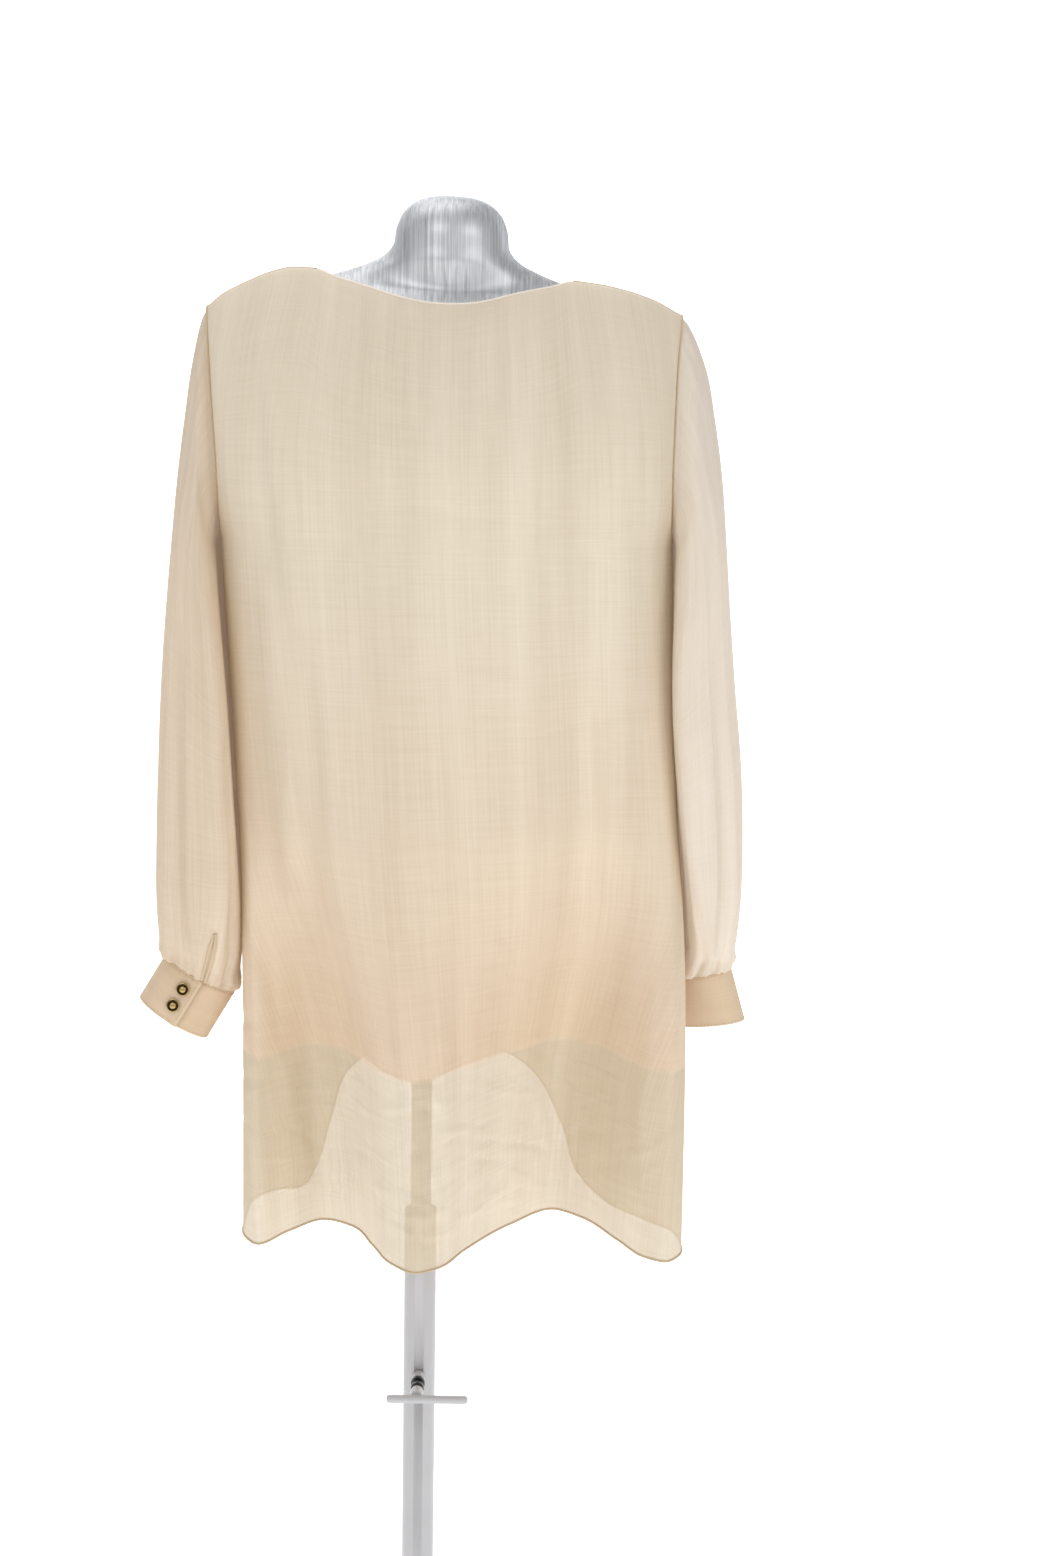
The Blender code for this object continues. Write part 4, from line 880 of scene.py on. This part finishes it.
def even_path(points):
    """The same line with the points of a strip, evenly spaced."""
    run = run_length(points)
    return points_at(np.linspace(0, run[-1], STRIP_POINTS), run, points)


def joined(parts):
    """Points and faces of one mesh made from the rings and faces of several."""
    points, faces, count = [], [], 0
    for rings, own_faces in parts:
        points.append(rings.reshape(-1, 3))
        faces += [tuple(i + count for i in face) for face in own_faces]
        count += len(points[-1])
    return np.concatenate(points), faces


slit_binding = sheer_cloth("slit_binding_chiffon", "#DDCAB0", "#C6B092", 0.97, 0.05)
for label, where in SLEEVE_SLITS.items():
    grid, normals = sleeves[label]
    column = round(where * SLEEVE_COLUMNS)
    height = np.linalg.norm(grid[:, column] - grid[-1, column], axis=1)
    rows = np.nonzero((height < SLIT_LENGTH) & (height > 0.0012))[0]
    line = even_path(grid[rows, column])
    normal = unit(even_path(normals[rows, column]))
    tangent = unit(np.gradient(line, axis=0))
    across = unit(np.cross(normal, tangent))
    share = np.linspace(0, 1, STRIP_POINTS)[:, None]
    open_by = 0.0003 + 0.0005 * np.sin(math.pi * share) ** 2
    parts = []
    width = STRIP_WIDTH * (0.35 + 0.65 * smooth(share / 0.25))
    for hand, lap in ((-1, 0.0), (1, 0.0004)):
        middle = line + across * hand * (width / 2 + open_by) + normal * (0.0009 + lap)
        strip = laid_strip(middle, across, normal, width, STRIP_THICKNESS)
        parts.append((strip, capped_faces(STRIP_POINTS, STRIP_SIDES)))
    tack = line[:3].mean(axis=0) + normal[0] * 0.0016
    bar = np.array([tack + across[0] * 0.0018 * t for t in np.linspace(-1, 1, TACK_POINTS)])
    bar = laid_strip(bar, tangent[0], normal[0], 0.0016, 0.0012)
    points, faces = joined(parts + [(bar, capped_faces(TACK_POINTS, STRIP_SIDES))])
    piece = add_mesh(
        f"bound_slit_{label}", points, faces, slit_binding, "form", points[:, [0, 2]],
    )
    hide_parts(f"placket_{label}")


# Top-stitching on the cuffs: polyester thread, 2.6 mm stitches in a row 2 mm inside the edges.
STITCH_LENGTH = 0.0026
STITCH_STEP = 0.0034
STITCH_INSET = 0.0022
THREAD_RADIUS = 0.00028
THREAD_SIDES = 6
STITCH_SWELL = np.array((0.25, 0.9, 1.0, 0.9, 0.25))[:, None]

thread, tree = new_material("polyester_thread")
twist = add_node(tree, "TexNoise", {"Scale": 900.0, "Detail": 1.0})
tone = add_node(tree, "Mix", {0: twist, 6: linear("#B49B77"), 7: linear("#D3BD9B")}, data_type="RGBA")
strand = add_node(tree, "BsdfPrincipled", {"Base Color": tone, "Roughness": 0.6})
add_node(tree, "OutputMaterial", {"Surface": strand})


def stitch_rows(grid, normals, inset):
    """Lines of points and normals a little inside the top, bottom and lapped edge of a cuff."""
    raised = grid + normals * 0.0001
    centre = CUFF_COLUMNS // 2
    top = inset / np.linalg.norm(grid[0, centre] - grid[-1, centre]) * (len(grid) - 1)
    low, part = int(top), top - int(top)
    lines = []
    for a, b in ((low, low + 1), (-1 - low, -2 - low)):
        lines.append(((raised[a] * (1 - part) + raised[b] * part)[12:-3], normals[a][12:-3]))
    lines.append((raised[1:-1, -3], normals[1:-1, -3]))
    return lines


for label, (grid, normals) in cuffs.items():
    parts = []
    for line, outward in stitch_rows(grid, normals, STITCH_INSET):
        run = run_length(line)
        for start in np.arange(0, run[-1] - STITCH_STEP, STITCH_STEP):
            at = start + np.linspace(0, STITCH_LENGTH, len(STITCH_SWELL))
            middle, up = points_at(at, run, line), points_at(at, run, outward)
            run_on = middle[-1] - middle[0]
            beside = np.cross(run_on / np.linalg.norm(run_on), up)
            rings = tube_rings(middle, beside, up, STITCH_SWELL * THREAD_RADIUS, THREAD_SIDES)
            faces = capped_faces(len(STITCH_SWELL), THREAD_SIDES)
            parts.append((rings, [face[::-1] for face in faces]))
    points, faces = joined(parts)
    add_mesh(f"cuff_{label}_stitching", points, faces, thread, "form")


# The buttons: cast brass, dipped dark and rubbed bright on the rim and the dome, 12.4 mm across,
# sewn on by a shank. The bright brass there is partly wear and partly a painted highlight. They
# hold the cuffs closed.
BUTTON_PROFILE = np.array((
    (0.0016, 0.0003), (0.0016, 0.0013), (0.0050, 0.0014), (0.0060, 0.0017), (0.0062, 0.0022),
    (0.0061, 0.0028), (0.0057, 0.0032), (0.0052, 0.0032), (0.0048, 0.0027), (0.0044, 0.0023),
    (0.0038, 0.0023), (0.0034, 0.0027), (0.0028, 0.0033), (0.0018, 0.0037), (0.0008, 0.0038),
))
WEAR_AND_HIGHLIGHT_RINGS = (4, 5, 6, 12, 13)
BUTTON_PLACE = (26 - 1.25) / 26
BUTTON_SIDES = 48
BUTTON_LEVELS = (("upper", 0.30), ("lower", 0.66))


def turned(name, profile, segments, finish, at, body, tube=False):
    """A turned piece on the local Z axis of a frame. Its profile rows are radius and height.

    The profile of a tube closes on itself. Any other one is capped at both ends.
    """
    profile = np.asarray(profile, float)
    turn = around(segments)
    rings = np.stack((
        np.outer(profile[:, 0], np.cos(turn)), np.outer(profile[:, 0], np.sin(turn)),
        np.repeat(profile[:, 1:], segments, axis=1),
    ), axis=-1)
    matrix = np.array(at)
    points = rings.reshape(-1, 3) @ matrix[:3, :3].T + matrix[:3, 3]
    count = len(profile)
    if tube:
        points = np.concatenate((points, points[:segments]))
        count += 1
        faces = grid_faces(count, segments, closed=True)
    else:
        faces = capped_faces(count, segments)
    piece = add_mesh(name, points, faces, finish, body)
    piece.data.set_sharp_from_angle(angle=math.radians(50))
    return piece


def brass_finish(name, pale, deep, roughness):
    """Cast brass under a mottled stain, which is finer than 2 mm and drawn at that."""
    made, tree = new_material(name)
    stain = add_node(tree, "TexNoise", {"Scale": 1 / 0.002, "Detail": 5.0, "Roughness": 0.6})
    colour = add_node(tree, "Mix", {0: stain, 6: linear(deep), 7: linear(pale)}, data_type="RGBA")
    rough = add_node(tree, "MapRange", {"Value": stain, "To Min": roughness, "To Max": roughness + 0.15})
    metal = add_node(tree, "BsdfPrincipled", {"Base Color": colour, "Metallic": 1.0, "Roughness": rough})
    add_node(tree, "OutputMaterial", {"Surface": metal})
    return made


dipped_brass = brass_finish("dipped_antique_brass", "#4A3B28", "#2A2016", 0.28)
bright_brass_wear_and_highlight = brass_finish("rubbed_antique_brass_and_painted_highlight", "#D9BE86", "#9C7F4C", 0.20)
for label, (grid, normals) in cuffs.items():
    for name, level in BUTTON_LEVELS:
        row, column = level * (len(CUFF_LEVELS) - 1), BUTTON_PLACE * (CUFF_COLUMNS - 1)
        r, c = int(row), int(column)
        normal = Vector(normals[r, c]).normalized()
        place = (grid[r, c] * (1 - (row - r)) + grid[r + 1, c] * (row - r)) * (1 - (column - c))
        place = place + (grid[r, c + 1] * (1 - (row - r)) + grid[r + 1, c + 1] * (row - r)) * (column - c)
        at = Matrix.Translation(Vector(place)) @ normal.to_track_quat("Z", "Y").to_matrix().to_4x4()
        piece = turned(
            f"brass_button_{label}_{name}",
            BUTTON_PROFILE, BUTTON_SIDES, dipped_brass, at, "form",
        )
        # The rim and the dome take the bright brass: rubbed wear and a painted highlight both.
        piece.data.materials.append(bright_brass_wear_and_highlight)
        ring_of_face = np.arange(len(piece.data.polygons)) // BUTTON_SIDES
        wear_and_highlight = np.isin(ring_of_face, WEAR_AND_HIGHLIGHT_RINGS) | (ring_of_face >= len(BUTTON_PROFILE) - 1)
        piece.data.polygons.foreach_set("material_index", wear_and_highlight.astype(np.int32))
        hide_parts(f"button_{label}_{name}")


# The stand: drawn steel tubes, the lower one white, the upper one zinc plated, that slide in
# each other under a nylon collar. A pressed flange carries the form, a round plate the rest.
UPPER_TUBE_RADIUS = 0.0095
LOWER_TUBE_RADIUS = 0.0150
TUBE_WALL = 0.0015
LOWER_TUBE_TOP = 0.558
BASE_RADIUS = 0.170
BASE_THICKNESS = 0.006
CLAMP_HEIGHT = 0.402
SCREW_RADIUS = 0.004
DRILL_SIDES = 48


def grained_finish(name, pale, deep, roughness, metallic, grit):
    """Powder coat, zinc plate or moulded nylon: a fine grain, a little darker in places."""
    made, tree = new_material(name)
    at = add_node(tree, "TexCoord").outputs["Object"]
    fine = add_node(tree, "TexNoise", {"Vector": at, "Scale": 1 / grit, "Detail": 2.0})
    cloudy = add_node(tree, "TexNoise", {"Vector": at, "Scale": 1 / 0.05, "Detail": 3.0})
    colour = add_node(tree, "Mix", {0: cloudy, 6: linear(deep), 7: linear(pale)}, data_type="RGBA")
    ends = {"To Min": roughness - 0.06, "To Max": roughness + 0.06}
    rough = add_node(tree, "MapRange", {"Value": fine, **ends})
    bump = add_node(tree, "Bump", {"Height": fine, "Strength": 0.15, "Distance": 0.0003})
    coat = add_node(
        tree, "BsdfPrincipled",
        {"Base Color": colour, "Metallic": metallic, "Roughness": rough, "Normal": bump},
    )
    add_node(tree, "OutputMaterial", {"Surface": coat})
    return made


def rounded_profile(corners, radius, closed=False):
    """A profile with a small arc in place of each of its corners."""
    corners = [np.array(corner, float) for corner in corners]
    made = []
    for i, corner in enumerate(corners):
        if not closed and i in (0, len(corners) - 1):
            made.append(corner)
            continue
        a, b = corners[i - 1] - corner, corners[(i + 1) % len(corners)] - corner
        reach = min(radius, 0.4 * np.linalg.norm(a), 0.4 * np.linalg.norm(b))
        a, b = corner + a / np.linalg.norm(a) * reach, corner + b / np.linalg.norm(b) * reach
        made += [(1 - t) ** 2 * a + 2 * t * (1 - t) * corner + t**2 * b for t in (0.0, 0.3, 0.7, 1.0)]
    return made


def drill(piece, at, radius, start, end):
    """Cuts a round hole into a piece, along the local Z axis of a frame."""
    ends = [
        at @ Vector((radius * math.cos(a), radius * math.sin(a), z))
        for z in (start, end) for a in around(DRILL_SIDES)
    ]
    mesh = bpy.data.meshes.new("drill")
    mesh.from_pydata(ends, [], capped_faces(2, DRILL_SIDES))
    cutter = bpy.data.objects.new("drill", mesh)
    bpy.context.scene.collection.objects.link(cutter)
    cut = piece.modifiers.new("hole", "BOOLEAN")
    cut.object = cutter
    cut.solver = "EXACT"
    evaluated = piece.evaluated_get(bpy.context.evaluated_depsgraph_get())
    bored = bpy.data.meshes.new_from_object(evaluated)
    piece.modifiers.clear()
    piece.data = bored
    bpy.data.objects.remove(cutter)


# The white powder coat is given a light grey colour: painted shade over the stand's white.
white_coat_with_painted_shade = grained_finish("white_powder_coat", "#C6C5C7", "#B8B7B9", 0.36, 0.0, 0.0012)
zinc = grained_finish("bright_zinc_plate", "#8A8B8C", "#6F7173", 0.35, 1.0, 0.0008)
nylon = grained_finish("grey_moulded_nylon", "#59595B", "#4A4A4C", 0.55, 0.0, 0.0010)
upright = Matrix.Identity(4)
flange_top = FORM_BASE_HEIGHT - GAP
flange = turned(
    "pressed_flange",
    rounded_profile((
        (UPPER_TUBE_RADIUS + 0.0014, flange_top - 0.030), (0.0150, flange_top - 0.030),
        (0.0150, flange_top - 0.006), (0.0450, flange_top - 0.004), (0.0450, flange_top),
        (UPPER_TUBE_RADIUS + 0.0014, flange_top),
    ), 0.0012, closed=True),
    72, white_coat_with_painted_shade, lean, "form", tube=True,
)
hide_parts("form_flange")
tube_top = FORM_BASE_HEIGHT - 0.0007
upper = turned(
    "upper_steel_tube",
    rounded_profile((
        (UPPER_TUBE_RADIUS - TUBE_WALL, 0.150), (UPPER_TUBE_RADIUS, 0.150),
        (UPPER_TUBE_RADIUS, tube_top), (UPPER_TUBE_RADIUS - TUBE_WALL, tube_top),
    ), 0.0003, closed=True),
    64, zinc, upright, "form", tube=True,
)
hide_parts("upper_tube")
foot = BASE_THICKNESS + GAP
bore = LOWER_TUBE_RADIUS - TUBE_WALL
lower = turned(
    "lower_steel_tube",
    rounded_profile((
        (bore, foot), (LOWER_TUBE_RADIUS, foot), (LOWER_TUBE_RADIUS, LOWER_TUBE_TOP), (bore, LOWER_TUBE_TOP),
    ), 0.0003, closed=True),
    96, white_coat_with_painted_shade, upright, "stand", tube=True,
)
outward = Matrix.Translation((0, 0, CLAMP_HEIGHT)) @ Matrix.Rotation(-math.pi / 2, 4, "X")
drill(lower, outward, SCREW_RADIUS + GAP, 0.010, 0.020)
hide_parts("lower_tube")
collar_top = LOWER_TUBE_TOP + GAP
collar = turned(
    "nylon_collar",
    rounded_profile((
        (UPPER_TUBE_RADIUS + GAP, collar_top - 0.030), (bore - GAP, collar_top - 0.030),
        (bore - GAP, collar_top), (LOWER_TUBE_RADIUS, collar_top),
        (LOWER_TUBE_RADIUS, collar_top + 0.004), (UPPER_TUBE_RADIUS + GAP, collar_top + 0.005),
    ), 0.0008, closed=True),
    72, nylon, upright, "stand", tube=True,
)
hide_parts("tube_collar")
plate = turned(
    "round_base_plate",
    rounded_profile((
        (0.001, 0.0), (BASE_RADIUS - 0.001, 0.0), (BASE_RADIUS, 0.001),
        (BASE_RADIUS, BASE_THICKNESS - 0.002),
        (BASE_RADIUS - 0.003, BASE_THICKNESS), (0.001, BASE_THICKNESS),
    ), 0.0012),
    144, white_coat_with_painted_shade, upright, "stand",
)
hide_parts("base_plate")
socket = turned(
    "base_socket_pressing",
    rounded_profile((
        (LOWER_TUBE_RADIUS + GAP, foot), (0.0300, foot), (0.0280, foot + 0.006), (0.0185, foot + 0.010),
        (0.0175, foot + 0.0317), (LOWER_TUBE_RADIUS + GAP, foot + 0.0317),
    ), 0.0020, closed=True),
    96, white_coat_with_painted_shade, upright, "stand", tube=True,
)
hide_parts("base_socket")


# The clamp: a welded boss, a plated screw with its washer and nut, a white hub and a bar
# handle that is turned by hand to hold the upper tube at its height.
start = LOWER_TUBE_RADIUS + GAP
boss = turned(
    "welded_boss",
    rounded_profile((
        (SCREW_RADIUS + GAP, start), (0.0062, start),
        (0.0062, start + 0.012), (SCREW_RADIUS + GAP, start + 0.012),
    ), 0.0008, closed=True),
    48, white_coat_with_painted_shade, outward, "stand", tube=True,
)
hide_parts("clamp_boss")
THREAD_PITCH = 0.0013
THREAD_DEPTH = 0.0005
tip = UPPER_TUBE_RADIUS + GAP


def thread_rows(first, last):
    """Profile rows of a screw thread between two heights."""
    count = int((last - first) / (THREAD_PITCH / 2))
    return [(SCREW_RADIUS - THREAD_DEPTH * (k % 2), first + THREAD_PITCH / 2 * k) for k in range(count)]


profile = [(SCREW_RADIUS * 0.6, tip), (SCREW_RADIUS - 0.0004, tip + 0.0010)]
profile += thread_rows(tip + 0.0015, start + 0.0130)
profile += [
    (SCREW_RADIUS, start + 0.0135), (0.0064, start + 0.0137), (0.0066, start + 0.0143),
    (0.0066, start + 0.0177), (0.0064, start + 0.0183), (SCREW_RADIUS, start + 0.0186),
]
profile += thread_rows(start + 0.0190, start + 0.0260)
profile += [
    (SCREW_RADIUS, start + 0.0262), (0.0060, start + 0.0264), (0.0062, start + 0.0270),
    (0.0062, start + 0.0296), (0.0060, start + 0.0302), (SCREW_RADIUS, start + 0.0306),
    (SCREW_RADIUS, start + 0.0340),
]
dark_zinc = grained_finish("black_zinc_plate", "#5E605F", "#3E403F", 0.30, 1.0, 0.0006)
screw = turned("plated_clamp_screw", profile, 48, dark_zinc, outward, "clamp")
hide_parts("clamp_screw")
hub_top = 0.070 - 0.0038 - GAP
hub = turned(
    "white_clamp_hub",
    rounded_profile((
        (0.0050, start + 0.0343), (0.0058, start + 0.0360), (0.0058, hub_top - 0.0015), (0.0046, hub_top),
    ), 0.0008),
    48, white_coat_with_painted_shade, outward, "clamp",
)
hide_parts("clamp_hub")
sideways = Matrix.Translation((-0.010, 0.070, CLAMP_HEIGHT)) @ Matrix.Rotation(math.pi / 2, 4, "Y")
bar = turned(
    "white_bar_handle",
    rounded_profile((
        (0.0008, -0.0375), (0.0030, -0.0373), (0.0038, -0.0350),
        (0.0038, 0.0350), (0.0030, 0.0373), (0.0008, 0.0375),
    ), 0.0010),
    48, white_coat_with_painted_shade, sideways, "clamp",
)
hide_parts("clamp_handle")


# The studio: a white sheet swept up behind the form and across the floor, two equal soft lights
# beside the camera, a large one above, one in front of the blouse and a white room.
floor_points, floor_faces = [], []
sweep = [(4.0, 0.0), (-1.8, 0.0)]
for a in np.linspace(0.1, math.pi / 2, 14):
    sweep.append((-1.8 - 1.2 * math.sin(a), 1.2 - 1.2 * math.cos(a)))
sweep += [(-3.0, 4.0)]
for y, z in sweep:
    floor_points += [(-5.0, y, z - 0.0005), (5.0, y, z - 0.0005)]
for i in range(0, 2 * len(sweep) - 2, 2):
    floor_faces.append((i, i + 1, i + 3, i + 2))
white_sheet, tree = new_material("white_paper")
lit = {"Emission Color": (1, 1, 1, 1), "Emission Strength": 0.6}
paper = add_node(tree, "BsdfPrincipled", {"Base Color": linear("#FBFBFB"), "Roughness": 0.9, **lit})
add_node(tree, "OutputMaterial", {"Surface": paper})
mesh = bpy.data.meshes.new("studio_sweep")
mesh.from_pydata(floor_points, [], floor_faces)
mesh.shade_smooth()
mesh.materials.append(white_sheet)
studio = bpy.data.objects.new("studio_sweep", mesh)
bpy.context.scene.collection.objects.link(studio)

world = bpy.data.worlds.new("white_room")
world.use_nodes = True
world.node_tree.nodes["Background"].inputs["Color"].default_value = (1.0, 1.0, 1.0, 1.0)
world.node_tree.nodes["Background"].inputs["Strength"].default_value = 0.45
bpy.context.scene.world = world


def add_light(name, place, target, size, power):
    """A square soft light that faces its target."""
    data = bpy.data.lights.new(name, "AREA")
    data.shape = "SQUARE"
    data.size = size
    data.energy = power
    lamp = bpy.data.objects.new(name, data)
    lamp.location = place
    lamp.rotation_euler = (Vector(target) - Vector(place)).to_track_quat("-Z", "Y").to_euler()
    bpy.context.scene.collection.objects.link(lamp)
    return lamp


add_light("key_softbox", (-1.9, 2.2, 2.0), (0.0, 0.0, 1.1), 1.3, 17)
add_light("fill_softbox", (1.3, 2.7, 2.3), (0.0, 0.0, 1.1), 1.3, 17)
add_light("top_softbox", (0.4, -0.3, 3.1), (0.0, 0.0, 1.3), 2.2, 19)
add_light("front_softbox", (0.3, -2.2, 2.2), (0.0, 0.0, 1.0), 1.6, 13)

camera_data = bpy.data.cameras.new("camera")
camera_data.sensor_fit = "VERTICAL"
camera_data.sensor_height = 36.0
camera_data.lens = 2667.0 / 1556.0 * camera_data.sensor_height
camera = bpy.data.objects.new("camera", camera_data)
bpy.context.scene.collection.objects.link(camera)
camera.matrix_world = (
    Matrix.Translation((-0.0867, 2.40, 1.374))
    @ Matrix.Rotation(math.pi, 4, "Z")
    @ Matrix.Rotation(math.radians(80.5), 4, "X")
    @ Matrix.Rotation(math.radians(0.9), 4, "Z")
)
bpy.context.scene.camera = camera
bpy.context.scene.view_settings.view_transform = "Standard"
